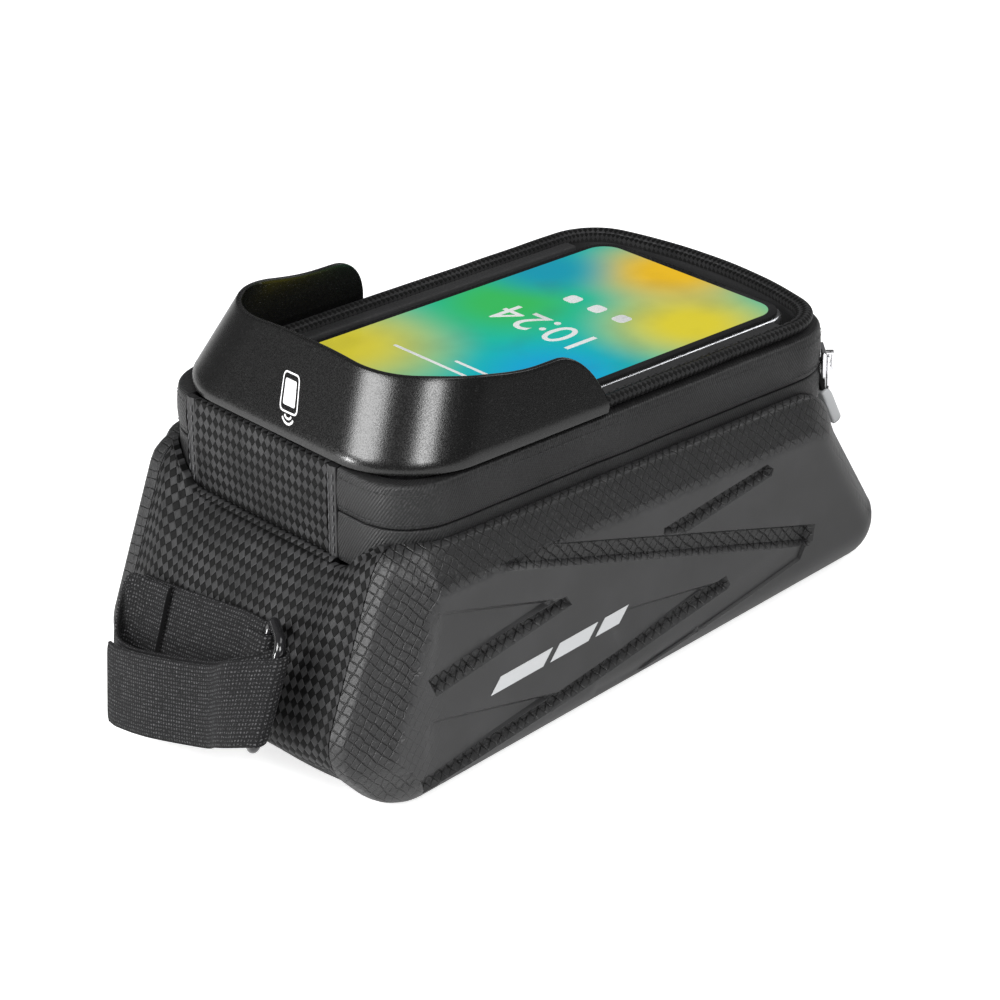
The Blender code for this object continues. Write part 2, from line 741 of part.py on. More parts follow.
def pod_profile(level, slope_share):
    """Inset and rise, out of the seam's plane, of one level of the pod."""
    share, slope_rise = POD_SLOPE_PROFILE[level]
    angle = math.pi / 2 * level / (len(POD_SLOPE_PROFILE) - 1)
    slope_inset = POD_SLOPE_WIDTH * share
    round_inset = POD_ROUND_WIDTH * (1 - math.cos(angle))
    inset = round_inset + (slope_inset - round_inset) * slope_share
    rise = math.sin(angle) + (slope_rise - math.sin(angle)) * slope_share
    return inset, rise


def pod_least_y(x, z):
    """The pod stays outside the band where it stands beside it."""
    lid_x, lid_z = bag_to_lid(x, z)
    band_y = lid_half_width_at(lid_x) + POD_TO_BAND_GAP
    beside = smooth_step(lid_z, -BAND_DROP - 8.0, -BAND_DROP - 1.0)
    return POD_SEAM_Y + max(0.0, band_y - POD_SEAM_Y) * beside


def pod_ring(level, wall):
    outlines = {}
    ring = []
    base = pod_outline(0.0)
    for i, (point, out) in enumerate(base):
        slope_share = min(1.0, max(0.0, 2.0 * max(out.x, out.y) - 0.6))
        inset, rise = pod_profile(level, slope_share)
        key = round(inset + wall, 3)
        if key not in outlines:
            outlines[key] = pod_outline(inset + wall)
        moved = outlines[key][i][0]
        seam_y = pod_least_y(point.x, point.y)
        y = seam_y + (POD_FACE_Y - wall - seam_y) * rise
        ring.append((moved.x, max(y, pod_least_y(moved.x, moved.y)), moved.y))
    return ring


def pod_solid():
    levels = range(len(POD_SLOPE_PROFILE))
    rings = [pod_ring(level, POD_WALL) for level in reversed(levels)]
    rings += [pod_ring(level, 0.0) for level in levels]
    return loft(rings, wrap=False)


# Grooves of the pod's face, in the lid frame: corners as x, z and depth share
WEDGE_GROOVES = {
    "upper_front_wedge": [(36.0, -44.0, 0.9), (86.0, -49.0, -0.1), (82.0, -34.0, -0.1)],
    "lower_front_wedge": [(38.0, -73.0, 0.9), (87.0, -78.5, -0.1), (86.0, -63.5, -0.1)],
    "rear_wedge": [(-27.0, -60.5, 0.9), (12.0, -67.5, -0.1), (16.0, -52.0, -0.1)],
}
CHANNEL_GROOVES = {
    "long_channel": [(52.0, -21.5, 1), (-64.5, -55.0, 1), (-63.0, -61.5, 1), (52.0, -27.0, 1)],
    "branch_channel": [(2.0, -36.4, 1), (-43.0, -30.2, 1), (-47.5, -33.4, 1), (-9.0, -40.0, 1)],
    "upper_front_channel": [(35.0, -44.2, 1), (34.0, -46.2, 1), (87.0, -54.0, 1), (86.0, -49.0, 1)],
    "lower_front_channel": [(38.0, -72.8, 1), (37.0, -75.2, 1), (89.0, -83.0, 1), (88.0, -78.2, 1)],
    "rear_channel": [(-27.5, -59.8, 1), (-29.0, -62.8, 1), (31.0, -75.3, 1), (32.0, -73.0, 1)],
}


def groove_cutter(name, corners, side):
    """A prism with flared walls, from above the pod's face down to its depths."""
    middle_x = sum(c[0] for c in corners) / len(corners)
    middle_z = sum(c[1] for c in corners) / len(corners)
    deep = []
    high = []
    for x, z, depth in corners:
        away = Vector((x - middle_x, z - middle_z)).normalized()
        bag_x, bag_z = lid_to_bag(x, z)
        deep.append((bag_x, side * (POD_FACE_Y - GROOVE_DEPTH * depth), bag_z))
        flare_x, flare_z = lid_to_bag(x + away.x * GROOVE_FLARE * 2, z + away.y * GROOVE_FLARE * 2)
        high.append((flare_x, side * (POD_FACE_Y + GROOVE_DEPTH), flare_z))
    vertices, faces = loft([deep, high], wrap=False)
    return make_object(name, vertices, faces, POD_FOAM, bag_frame)


def make_pod(name, side):
    vertices, faces = pod_solid()
    pod = make_object(name, [(x, side * y, z) for x, y, z in vertices], faces, POD_FOAM, bag_frame)
    for groove, corners in {**WEDGE_GROOVES, **CHANNEL_GROOVES}.items():
        cutter = groove_cutter(name + "_" + groove, corners, side)
        combine(pod, cutter, "DIFFERENCE")


# Gusset and base

GUSSET_EDGE_Y = POD_SEAM_Y - SEAT_GAP
GUSSET_COLUMNS = (0.0, 0.3, 0.55, 0.72, 0.84, 0.92, 0.97, 1.0)


def gusset_edge():
    """The pod's outline from the band at the front, round below, to the band at the rear."""
    points = pod_outline(0.0)
    kept = []
    for point, out in points:
        lid_x, lid_z = bag_to_lid(point.x, point.y)
        if point.x < 0 and lid_z > -BAND_DROP - 2.0:
            break
        kept.append((point, out))
    return kept


def gusset_crown(point, out, share):
    """How far the fabric stands out from the pods' seam; share is 0 at the middle."""
    full = 1 - share ** 3
    front = max(0.0, out.x) ** 1.5 * GUSSET_FRONT_CROWN
    rear = max(0.0, -out.x) ** 1.5 * GUSSET_REAR_CROWN
    below = max(0.0, -out.y) ** 2 * BASE_RECESS
    return (front + rear) * full - below * (1 - share ** 12)


def gusset_path(y, wall):
    """The gusset's line at one y, wall inside its outer face."""
    share = min(1.0, abs(y) / GUSSET_EDGE_Y)
    edge = gusset_edge()
    front_anchor = POD_CORNER_STEPS + POD_EDGE_STEPS[0]
    rear_anchor = len(edge) - 5
    ear = smooth_step(abs(y), FRONT_CORNER_Y - 6.0, GUSSET_EDGE_Y)
    top_drop = BAND_DROP + SEAT_GAP + (POD_TOP_DROP - BAND_DROP) * ear
    start_x = lid_front_x_at(y) + SEAM_STRIP_THICKNESS + (GUSSET_WALL - wall)
    start = Vector(lid_to_bag(start_x, -top_drop))
    end_x = lid_rear_x_at(y) - SEAT_GAP - (GUSSET_WALL - wall) + 1.5
    end = Vector(lid_to_bag(end_x, -BAND_DROP - SEAT_GAP))
    path = []
    for i, (point, out) in enumerate(edge):
        shifted = point + out * (gusset_crown(point, out, share) - wall)
        path.append(shifted)
    front = path[front_anchor]
    rear = path[rear_anchor]
    slope = (front - start).normalized()
    square = Vector((-slope.y, slope.x))
    for i in range(front_anchor):
        part = i / front_anchor
        belly = GUSSET_FRONT_BELLY * 4 * part * (1 - part)
        straight = start.lerp(front, part) + square * belly
        path[i] = straight.lerp(path[i], ear * min(1.0, part * 4))
    last = len(path) - 1
    for i in range(rear_anchor + 1, last + 1):
        part = (last - i) / (last - rear_anchor)
        path[i] = end.lerp(rear, part)
    return path


def make_gusset():
    columns = [-share for share in reversed(GUSSET_COLUMNS[1:])] + list(GUSSET_COLUMNS)
    outer = []
    inner = []
    for share in columns:
        y = share * GUSSET_EDGE_Y
        outer.append([(p.x, y, p.y) for p in gusset_path(y, 0.0)])
        inner.append([(p.x, y, p.y) for p in gusset_path(y, GUSSET_WALL)])
    vertices, faces = sheet(outer, inner)
    make_object("gusset", vertices, faces, CHECKER_FABRIC, bag_frame, sharp=50.0)


def make_base_board():
    low = BASE_RECESS + GUSSET_WALL + SEAT_GAP
    middle = (POD_FOOT_FRONT_X + POD_FOOT_REAR_X) / 2
    outline = rounded_rectangle(BASE_BOARD_LENGTH, BASE_BOARD_WIDTH, 8.0, (middle, 0.0))
    vertices, faces = slab(outline, low, low + BASE_BOARD_THICKNESS)
    make_object("base_board", vertices, faces, BOARD_PLASTIC, bag_frame)


def make_belly_strap(name, x):
    high = BASE_RECESS - SEAT_GAP
    low = high - BELLY_STRAP_THICKNESS
    outline = rounded_rectangle(BELLY_STRAP_WIDTH, BELLY_STRAP_LENGTH, 4.0, (x, 0.0))
    vertices, faces = slab(outline, low, high)
    make_object(name, vertices, faces, STRAP_FABRIC, bag_frame)


def make_keeper(name, x, y):
    """Webbing sewn to the base at both ends, with the strap passing over it."""
    strap_low = BASE_RECESS - SEAT_GAP - BELLY_STRAP_THICKNESS
    inner = BELLY_STRAP_WIDTH / 2 + 2 * SEAT_GAP
    outer = inner + 4.0
    foot_high = BASE_RECESS - SEAT_GAP
    low_inner = strap_low - SEAT_GAP
    low_outer = low_inner - KEEPER_THICKNESS
    profile = [
        (-outer, foot_high), (-inner, foot_high), (-inner, low_inner), (inner, low_inner),
        (inner, foot_high), (outer, foot_high), (outer, foot_high - KEEPER_THICKNESS),
        (inner + KEEPER_THICKNESS, low_outer), (-inner - KEEPER_THICKNESS, low_outer),
        (-outer, foot_high - KEEPER_THICKNESS),
    ]
    sections = []
    for edge in (y - KEEPER_WIDTH / 2, y + KEEPER_WIDTH / 2):
        sections.append([(x + px, edge, pz) for px, pz in profile])
    vertices, faces = loft(sections, wrap=False)
    make_object(name, vertices, faces, STRAP_FABRIC, bag_frame)


# Front strap, its pad and its ring

def panel_x(y, z):
    """x of the gusset's front face at a height."""
    path = gusset_path(y, 0.0)
    for low, high in zip(path[1:], path):
        if low.y <= z <= high.y and high.x > 0:
            share = (z - low.y) / (high.y - low.y)
            return low.x + (high.x - low.x) * share
    return path[0].x


def panel_lean(y, z):
    """How far the gusset's front face leans back, over the width of the strap."""
    half = STRAP_WIDTH / 2 * 0.8
    return math.atan2(panel_x(y, z - half) - panel_x(y, z + half), 2 * half)


def ribbon(path, width, thickness):
    """A flat band of cloth on edge; a path point is x, y, middle height and lean."""
    outer = []
    inner = []
    for i, point in enumerate(path):
        before = path[max(0, i - 1)]
        after = path[min(len(path) - 1, i + 1)]
        along = Vector((after[0] - before[0], after[1] - before[1])).normalized()
        middle = Vector(point[:3])
        out = Vector((along.y, -along.x, 0.0)) * (thickness / 2)
        rise = Vector((-math.sin(point[3]), 0.0, math.cos(point[3]))) * (width / 2)
        outer.append([middle + out - rise, middle + out + rise])
        inner.append([middle - out - rise, middle - out + rise])
    return sheet(outer, inner)


def pad_height(y):
    """The pad slopes down to the right of its ring."""
    return RING_HEIGHT - PAD_SLOPE * max(0.0, RING_INNER_Y - RING_SPAN - y)


PAD_LEAN = panel_lean(RING_INNER_Y, RING_HEIGHT)
PAD_SEAT = SEAT_GAP + STRAP_THICKNESS / 2
WRAP_RADIUS = RING_BAR_RADIUS + SEAT_GAP + STRAP_THICKNESS / 2
RING_INNER_X = panel_x(RING_INNER_Y, RING_HEIGHT) + PAD_SEAT + WRAP_RADIUS
RING_OUTER_X = RING_INNER_X + RING_SPAN * math.sin(RING_TURN)
RING_OUTER_Y = RING_INNER_Y + RING_SPAN * math.cos(RING_TURN)


def ring_wrap(x, y, start, end, steps):
    """Strap path round one bar of the ring, between two angles in degrees."""
    points = []
    for step in range(steps + 1):
        angle = math.radians(start + (end - start) * step / steps)
        points.append(Vector((
            x + WRAP_RADIUS * math.cos(angle), y + WRAP_RADIUS * math.sin(angle), RING_HEIGHT, PAD_LEAN)))
    return points


def make_front_ring():
    """A rounded rectangle of bar: it hangs from the pad and holds the strap's fold."""
    radius = RING_BAR_RADIUS
    corner = 2 * RING_BAR_RADIUS
    half_height = STRAP_WIDTH / 2 + corner
    across = Vector((math.sin(RING_TURN), math.cos(RING_TURN), 0.0))
    up = Vector((-math.sin(PAD_LEAN), 0.0, math.cos(PAD_LEAN)))
    face = across.cross(up).normalized()
    low = Vector((RING_INNER_X, RING_INNER_Y, RING_HEIGHT))
    corners = (
        (RING_SPAN - corner, half_height - corner, 0), (corner, half_height - corner, 90),
        (corner, corner - half_height, 180), (RING_SPAN - corner, corner - half_height, 270),
    )
    path = []
    for span, height, start in corners:
        for step in range(4):
            angle = math.radians(start + 30 * step)
            reach = span + corner * math.cos(angle)
            path.append(low + across * reach + up * (height + corner * math.sin(angle)))
    sections = []
    for i, point in enumerate(path):
        along = (path[(i + 1) % len(path)] - path[i - 1]).normalized()
        side = along.cross(face)
        ring = []
        for step in range(8):
            angle = step * math.pi / 4
            ring.append(point + face * (radius * math.cos(angle)) + side * (radius * math.sin(angle)))
        sections.append(ring)
    vertices, faces = loft(sections, wrap=True)
    make_object("front_ring", vertices, faces, RING_PLASTIC, bag_frame)


def make_front_pad():
    """Hook-and-loop pad sewn across the panel; its end turns round the ring's inner bar."""
    path = []
    for y in (PAD_LEFT_Y, -24.0, -12.0, 0.0, 10.0):
        z = pad_height(y)
        path.append(Vector((panel_x(y, z) + PAD_SEAT, y, z, panel_lean(y, z))))
    path += ring_wrap(RING_INNER_X, RING_INNER_Y, 180, 0, 6)
    path.append(Vector((RING_INNER_X + WRAP_RADIUS, RING_INNER_Y - PAD_TAIL, RING_HEIGHT, PAD_LEAN)))
    vertices, faces = ribbon(path, STRAP_WIDTH - 1.0, STRAP_THICKNESS)
    make_object("front_strap_pad", vertices, faces, STRAP_FABRIC, bag_frame)


def make_front_strap():
    """From its stitched end on the left, forward and through the ring, and back over itself."""
    layer = STRAP_THICKNESS + 2 * SEAT_GAP
    sewn = []
    for y in (PAD_LEFT_Y + 14.0, PAD_LEFT_Y + 6.0):
        z = pad_height(y)
        sewn.append((panel_x(y, z) + PAD_SEAT + layer, y, z, panel_lean(y, z)))
    fold_x = sewn[-1][0]
    front_x = RING_OUTER_X + STRAP_REACH
    droop = RING_HEIGHT - STRAP_DROOP
    free = math.radians(8.0)
    inner_route = sewn + [
        (fold_x + 2.5, PAD_LEFT_Y - 1.0, (RING_HEIGHT + droop) / 2 + 2.0, 0.3),
        (front_x - 5.0, PAD_LEFT_Y + 1.0, droop - 4.0, free),
        (front_x, PAD_LEFT_Y + 12.0, droop - 3.0, free),
        (front_x, PAD_LEFT_Y + 26.0, droop, free),
        (front_x - 3.5, PAD_LEFT_Y + 46.0, droop + 4.0, free),
        (RING_OUTER_X + 4.8, RING_OUTER_Y - 11.0, RING_HEIGHT - 3.5, 0.25),
        (RING_OUTER_X + 2.8, RING_OUTER_Y - 5.8, RING_HEIGHT - 1.0, PAD_LEAN),
    ]
    path = smooth_curve(inner_route, 4)
    path += ring_wrap(RING_OUTER_X, RING_OUTER_Y, 230, 30, 7)
    outer_route = [
        (RING_OUTER_X + 5.2, RING_OUTER_Y - 4.0, RING_HEIGHT - 1.0, PAD_LEAN),
        (RING_OUTER_X + 7.0, RING_OUTER_Y - 11.0, RING_HEIGHT - 3.5, 0.25),
        (front_x - 3.5 + layer, PAD_LEFT_Y + 46.5, droop + 4.0, free),
        (front_x + layer, PAD_LEFT_Y + 26.0, droop, free),
        (front_x + layer, PAD_LEFT_Y + 12.0, droop - 3.0, free),
        (front_x + layer - 1.0, PAD_LEFT_Y + 6.0, droop - 4.0, free),
    ]
    path += smooth_curve(outer_route, 4)
    vertices, faces = ribbon(path, STRAP_WIDTH, STRAP_THICKNESS)
    make_object("front_strap", vertices, faces, STRAP_FABRIC, bag_frame, sharp=50.0)


# Zip sliders

def radial_point(centre, angle, radius, height):
    """A point out from a vertical axis; its angle runs from the rear towards the left."""
    x = centre[0] - radius * math.cos(angle)
    y = centre[1] + radius * math.sin(angle)
    return x, y, height


def make_slider(name, centre, angle, arc_radius, frame):
    """Outer and inner plates on both sides of the tapes, a neck in the slot, and a bridge."""
    turn = -angle
    outer_low = arc_radius + ZIP_RUNNING_GAP
    coil_inner = arc_radius + COIL_OUTER - COIL_WIDTH
    sag = SLIDER_LENGTH ** 2 / 8 / arc_radius
    inner_high = coil_inner - ZIP_RUNNING_GAP - sag
    middle = -ZIP_DROP
    plate = radial_point(centre, angle, outer_low + SLIDER_PLATE / 2, middle)
    vertices, faces = block(plate, (SLIDER_PLATE, SLIDER_LENGTH, SLIDER_HEIGHT), turn)
    body = make_object(name, vertices, faces, CHROME, frame)
    inner = radial_point(centre, angle, inner_high - SLIDER_PLATE / 2, middle)
    vertices, faces = block(inner, (SLIDER_PLATE, SLIDER_LENGTH, SLIDER_HEIGHT * 0.8), turn)
    combine(body, make_object(name + "_inner", vertices, faces, CHROME, frame), "UNION")
    low = inner_high - SLIDER_PLATE / 2
    high = outer_low + SLIDER_PLATE / 2
    neck = radial_point(centre, angle, (low + high) / 2, middle)
    vertices, faces = block(neck, (high - low, 2.4, SLIDER_NECK), turn)
    combine(body, make_object(name + "_neck", vertices, faces, CHROME, frame), "UNION")
    bridge_in = outer_low + SLIDER_PLATE
    post_middle = bridge_in + (BRIDGE_WINDOW + BRIDGE_BAR / 2 - SLIDER_PLATE / 2) / 2
    post_size = (BRIDGE_WINDOW + BRIDGE_BAR / 2 + SLIDER_PLATE / 2, BRIDGE_WIDTH, BRIDGE_POST)
    for part, sign in (("_bridge_top", 1), ("_bridge_foot", -1)):
        height = middle + sign * (BRIDGE_LENGTH - BRIDGE_POST) / 2
        vertices, faces = block(radial_point(centre, angle, post_middle, height), post_size, turn)
        combine(body, make_object(name + part, vertices, faces, CHROME, frame), "UNION")
    bar = radial_point(centre, angle, bridge_in + BRIDGE_WINDOW + BRIDGE_BAR / 2, middle)
    vertices, faces = block(bar, (BRIDGE_BAR, BRIDGE_WIDTH, BRIDGE_LENGTH), turn)
    combine(body, make_object(name + "_bridge_bar", vertices, faces, CHROME, frame), "UNION")
    return body


# A pull's top bar lies in the window of the slider's bridge, and the pull turns about it
PULL_PIVOT_OUT = ZIP_RUNNING_GAP + SLIDER_PLATE + BRIDGE_WINDOW / 2
PULL_PIVOT_RISE = BRIDGE_LENGTH / 2 - BRIDGE_POST - PULL_PLATE_THICKNESS / 2 - PULL_FIT


def make_pull_plate(name, centre, angle, radius, frame):
    """A plate with a window at its top, which goes round the slider's bridge."""
    along = Vector((math.sin(angle), math.cos(angle), 0.0))
    out = Vector((-math.cos(angle), math.sin(angle), 0.0))
    pivot = Vector(radial_point(centre, angle, radius + PULL_PIVOT_OUT, -ZIP_DROP + PULL_PIVOT_RISE))
    half = PULL_PLATE_THICKNESS / 2
    wide = PULL_PLATE_WIDTH / 2
    slot = BRIDGE_WIDTH / 2 + PULL_FIT
    low = -PULL_PLATE_LENGTH + half
    reach = math.hypot(PULL_PIVOT_RISE + BRIDGE_LENGTH / 2, (BRIDGE_WINDOW + 2 * BRIDGE_BAR) / 2)
    slot_low = -reach - PULL_FIT
    outer = [(wide * 0.6, half), (wide, -half), (wide, low + 1.5), (wide * 0.6, low)]
    inner = [(slot, -half), (slot, -half - 0.6), (slot, slot_low), (slot * 0.6, slot_low - 0.4)]
    rows = list(zip(outer, inner))
    rows += [((-a[0], a[1]), (-b[0], b[1])) for a, b in reversed(rows)]
    sections = []
    for edge, window in rows:
        front = pivot + out * half
        back = pivot - out * half
        corners = ((front, edge), (front, window), (back, window), (back, edge))
        sections.append([
            side + along * point[0] + Vector((0.0, 0.0, point[1])) for side, point in corners])
    vertices, faces = loft(sections, wrap=True)
    make_object(name, vertices, faces, CHROME, frame)


def pull_solid(centre, angle, radius, rows):
    """A tab hanging from a slider: rows of out, down, half width, half thickness and lean."""
    along = Vector((math.sin(angle), math.cos(angle), 0.0))
    out = Vector((-math.cos(angle), math.sin(angle), 0.0))
    sections = []
    for forward, down, half_width, half_thick, lean in rows:
        normal = out * math.cos(lean) + Vector((0.0, 0.0, math.sin(lean)))
        point = Vector(radial_point(centre, angle, radius + forward, -ZIP_DROP + PULL_PIVOT_RISE - down))
        sections.append([
            point + along * half_width + normal * half_thick,
            point - along * half_width + normal * half_thick,
            point - along * half_width - normal * half_thick,
            point + along * half_width - normal * half_thick,
        ])
    return loft(sections, wrap=False)


def make_slider_and_plate(place, centre, angle, radius):
    frame = make_frame(place + "_slider_axis", (centre[0], centre[1], -ZIP_DROP), band_frame)
    make_slider(place + "_slider", centre, angle, radius, frame)
    pivot = radial_point(centre, angle, radius + PULL_PIVOT_OUT, -ZIP_DROP + PULL_PIVOT_RISE)
    pull_frame = make_frame(place + "_pull_axis", pivot, frame)
    make_pull_plate(place + "_pull_plate", centre, angle, radius, pull_frame)
    return pull_frame


def make_side_slider():
    centre = (LID_REAR_CORNER_X, REAR_CORNER_Y)
    angle = REAR_ARC_TURN + SIDE_SLIDER_RUN / LID_REAR_RADIUS
    make_slider_and_plate("side", centre, angle, LID_REAR_RADIUS)


def make_rear_slider():
    """Its pull plate carries a folded tab of fabric with a rubber end."""
    centre = (REAR_ARC_X, 0.0)
    angle = REAR_ARC_TURN - REAR_SLIDER_RUN / LID_REAR_ARC_RADIUS
    radius = LID_REAR_ARC_RADIUS
    frame = make_slider_and_plate("rear", centre, angle, radius)
    half = PULL_TAB_THICKNESS / 2
    start_out = PULL_PIVOT_OUT + PULL_PLATE_THICKNESS / 2 + SEAT_GAP + half
    slope = math.tan(PULL_TAB_LEAN)
    top = PULL_PLATE_LENGTH - PULL_TAB_WIDTH / 2
    bend = top + PULL_TAB_WIDTH / 4
    end = top + PULL_TAB_LENGTH - PULL_END_LENGTH
    rows = []
    for down, width, thick in ((top, 0.6, 0.6), (bend, 0.7, 1.0), (bend + 3.5, 1.0, 1.0), (end, 1.0, 1.0)):
        lean = PULL_TAB_LEAN * min(1.0, (down - top) / (bend + 3.5 - top))
        rows.append((start_out + max(0.0, down - bend) * slope, down,
                     width * PULL_TAB_WIDTH / 2, thick * half, lean))
    vertices, faces = pull_solid(centre, angle, radius, rows)
    make_object("rear_pull_tab", vertices, faces, CHECKER_FABRIC, frame)
    rows = []
    for share, width, thick in ((0.0, 1.0, 1.3), (0.15, 1.15, 1.5), (0.85, 1.15, 1.5), (1.0, 0.8, 1.0)):
        down = end + SEAT_GAP + share * PULL_END_LENGTH
        rows.append((start_out + (down - bend) * slope, down,
                     width * PULL_TAB_WIDTH / 2, thick * half, PULL_TAB_LEAN))
    vertices, faces = pull_solid(centre, angle, radius, rows)
    make_object("rear_pull_end", vertices, faces, PULL_RUBBER, frame)


def set_origin_under_middle():
    """The bag's frame moves so that the world's origin is under the middle of its box."""
    bpy.context.view_layer.update()
    graph = bpy.context.evaluated_depsgraph_get()
    corners = []
    for piece in bpy.data.objects:
        if piece.type == "MESH" and not piece.hide_render:
            solid = piece.evaluated_get(graph)
            corners += [solid.matrix_world @ v.co for v in solid.data.vertices]
    low = [min(c[axis] for c in corners) for axis in range(3)]
    high = [max(c[axis] for c in corners) for axis in range(3)]
    bag_frame[0].location = (-(low[0] + high[0]) / 2, -(low[1] + high[1]) / 2, -low[2])


make_rim()
make_window()
make_upper_tape()
make_phone()
make_pocket()
make_visor()
make_lower_tape()
make_front_band()
make_seam_strip("left_seam_strip", 1, FRONT_BAND_LEFT)
make_seam_strip("right_seam_strip", -1, FRONT_BAND_RIGHT)
make_pod("left_pod", 1)
make_pod("right_pod", -1)
make_gusset()
make_base_board()
for place, strap_x in zip(("front", "rear"), BELLY_STRAP_X):
    make_belly_strap(place + "_belly_strap", strap_x)
    make_keeper(place + "_left_keeper", strap_x, KEEPER_Y)
    make_keeper(place + "_right_keeper", strap_x, -KEEPER_Y)
make_front_ring()
make_front_pad()
make_front_strap()
make_side_slider()
make_rear_slider()
set_origin_under_middle()
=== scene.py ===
"""Looks of the top tube phone bag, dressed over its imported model.

Sizes are in millimetres, and build_mesh turns them into metres. The lid, its rim and the
zip band are drawn in the lid frame: its origin is the middle of the seam under the rim,
with x forward along the lid and z square to it. Everything else is drawn in the bag
frame, whose z is up.
"""
import json
import math

import bmesh
import bpy
import numpy as np
from mathutils import Matrix, Vector, noise
from mathutils.bvhtree import BVHTree
from mathutils.geometry import delaunay_2d_cdt


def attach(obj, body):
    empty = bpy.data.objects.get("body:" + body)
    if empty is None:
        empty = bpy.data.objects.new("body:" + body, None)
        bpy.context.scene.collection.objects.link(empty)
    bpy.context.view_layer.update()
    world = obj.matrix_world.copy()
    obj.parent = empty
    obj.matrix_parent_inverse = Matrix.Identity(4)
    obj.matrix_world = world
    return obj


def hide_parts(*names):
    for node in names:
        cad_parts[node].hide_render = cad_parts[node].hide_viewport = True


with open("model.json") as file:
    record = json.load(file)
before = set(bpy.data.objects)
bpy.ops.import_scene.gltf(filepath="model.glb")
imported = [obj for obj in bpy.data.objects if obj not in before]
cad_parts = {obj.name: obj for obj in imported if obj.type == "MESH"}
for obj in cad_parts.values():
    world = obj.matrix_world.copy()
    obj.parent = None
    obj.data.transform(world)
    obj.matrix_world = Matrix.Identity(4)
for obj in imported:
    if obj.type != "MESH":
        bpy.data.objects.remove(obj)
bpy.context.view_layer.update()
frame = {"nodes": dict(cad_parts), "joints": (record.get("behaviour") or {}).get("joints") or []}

MM = 0.001

# Sizes of the bag
SEAT_GAP = 0.3
POD_TO_BAND_GAP = 0.7
LID_WIDTH = 104.0
LID_FRONT_X = 86.4
LID_FRONT_RADIUS = 17.0
LID_REAR_CORNER_X = -64.5
LID_REAR_RADIUS = 20.0
LID_REAR_ARC_RADIUS = 140.0
LID_PITCH = math.radians(4.65)
LID_HEIGHT = 84.5
RIM_HEIGHT = 3.6
RIM_WIDTH = 5.0
RIM_INSET = 2.2
RIM_FRONT_RADIUS = 26.0
WINDOW_THICKNESS = 0.6
WINDOW_TOP = 2.7
WINDOW_FILM = 0.25
BAND_WALL = 1.6
BAND_TOP_DROP = 0.6
BAND_TOP_ROUND = 1.4
TAPE_FLANGE = 4.6
TAPE_FLANGE_THICKNESS = 1.0
ZIP_DROP = 13.1
ZIP_SLOT = 1.2
BAND_DROP = 27.5
SEAM_STRIP_WIDTH = 3.7
SEAM_STRIP_THICKNESS = 0.9
FRONT_BAND_LEFT = 22.5
FRONT_BAND_RIGHT = 33.0
COIL_WIDTH = 1.2
PHONE_LENGTH = 152.0
PHONE_WIDTH = 78.0
PHONE_THICKNESS = 8.0
PHONE_CORNER_RADIUS = 10.0
SCREEN_THICKNESS = 0.7
SCREEN_INSET = 1.3
VISOR_THICKNESS = 1.5
VISOR_FRONT_HEIGHT = 23.5
VISOR_CORNER_HEIGHT = 22.5
VISOR_WING_HEIGHT = 18.2
VISOR_WING_END_X = 11.5
VISOR_WING_ROUND = 18.0
VISOR_FOOT = 2.5
VISOR_FRONT_LEAN = math.radians(29.3)
VISOR_SIDE_LEAN = math.radians(18.0)
POD_TOP_DROP = 16.5
POD_TOP_FRONT_X = 88.0
POD_TOP_REAR_X = -71.0
POD_NOSE_X = 114.5
POD_NOSE_HEIGHT = 20.0
POD_FOOT_FRONT_X = 98.5
POD_FOOT_REAR_X = -102.0
POD_CORNER_RADII = (12.0, 16.0, 16.0, 14.0, 18.0)
POD_EDGE_STEPS = (6, 4, 20, 12, 40)
POD_CORNER_STEPS = 10
POD_SEAM_Y = 45.0
POD_FACE_Y = 60.0
POD_WALL = 3.6
POD_SLOPE_WIDTH = 11.6
POD_ROUND_WIDTH = 13.0
GROOVE_DEPTH = 2.4
GUSSET_WALL = 2.0
GUSSET_FRONT_CROWN = 3.2
GUSSET_FRONT_BELLY = 2.5
GUSSET_REAR_CROWN = 3.0
BASE_RECESS = 4.2
STRAP_WIDTH = 24.5
STRAP_THICKNESS = 1.5
STRAP_REACH = 7.0
STRAP_DROOP = 13.0
PAD_LEFT_Y = -36.0
PAD_TAIL = 6.0
PAD_SLOPE = 0.12
RING_BAR_RADIUS = 1.5
RING_SPAN = 13.0
RING_TURN = math.radians(30.0)
RING_INNER_Y = 20.0
RING_HEIGHT = 38.0

# Stitches: length, gap and thickness
RIM_STITCH = (2.2, 0.8, 0.18)
ZIP_STITCH = (1.5, 0.7, 0.14)
RIM_SEAM_STITCH = (1.5, 0.7, 0.12)
BINDING_STITCH = (2.2, 0.8, 0.16)
STRAP_STITCH = (1.6, 0.7, 0.13)

LID_HALF_WIDTH = LID_WIDTH / 2
FRONT_CORNER_X = LID_FRONT_X - LID_FRONT_RADIUS
FRONT_CORNER_Y = LID_HALF_WIDTH - LID_FRONT_RADIUS
REAR_CORNER_Y = LID_HALF_WIDTH - LID_REAR_RADIUS
REAR_ARC_TURN = math.asin(REAR_CORNER_Y / (LID_REAR_ARC_RADIUS - LID_REAR_RADIUS))
REAR_CORNER_TURN = math.pi / 2 - REAR_ARC_TURN
REAR_ARC_X = LID_REAR_CORNER_X + (LID_REAR_ARC_RADIUS - LID_REAR_RADIUS) * math.cos(REAR_ARC_TURN)
HINGE_X = LID_FRONT_X + SEAT_GAP
PHONE_TOP = WINDOW_TOP - WINDOW_THICKNESS - SEAT_GAP

joints = {joint["name"]: joint for joint in frame["joints"]}
BAG_X = joints["lid_hinge"]["pos_m"][0] / MM - HINGE_X * math.cos(LID_PITCH)


# Places in the two frames

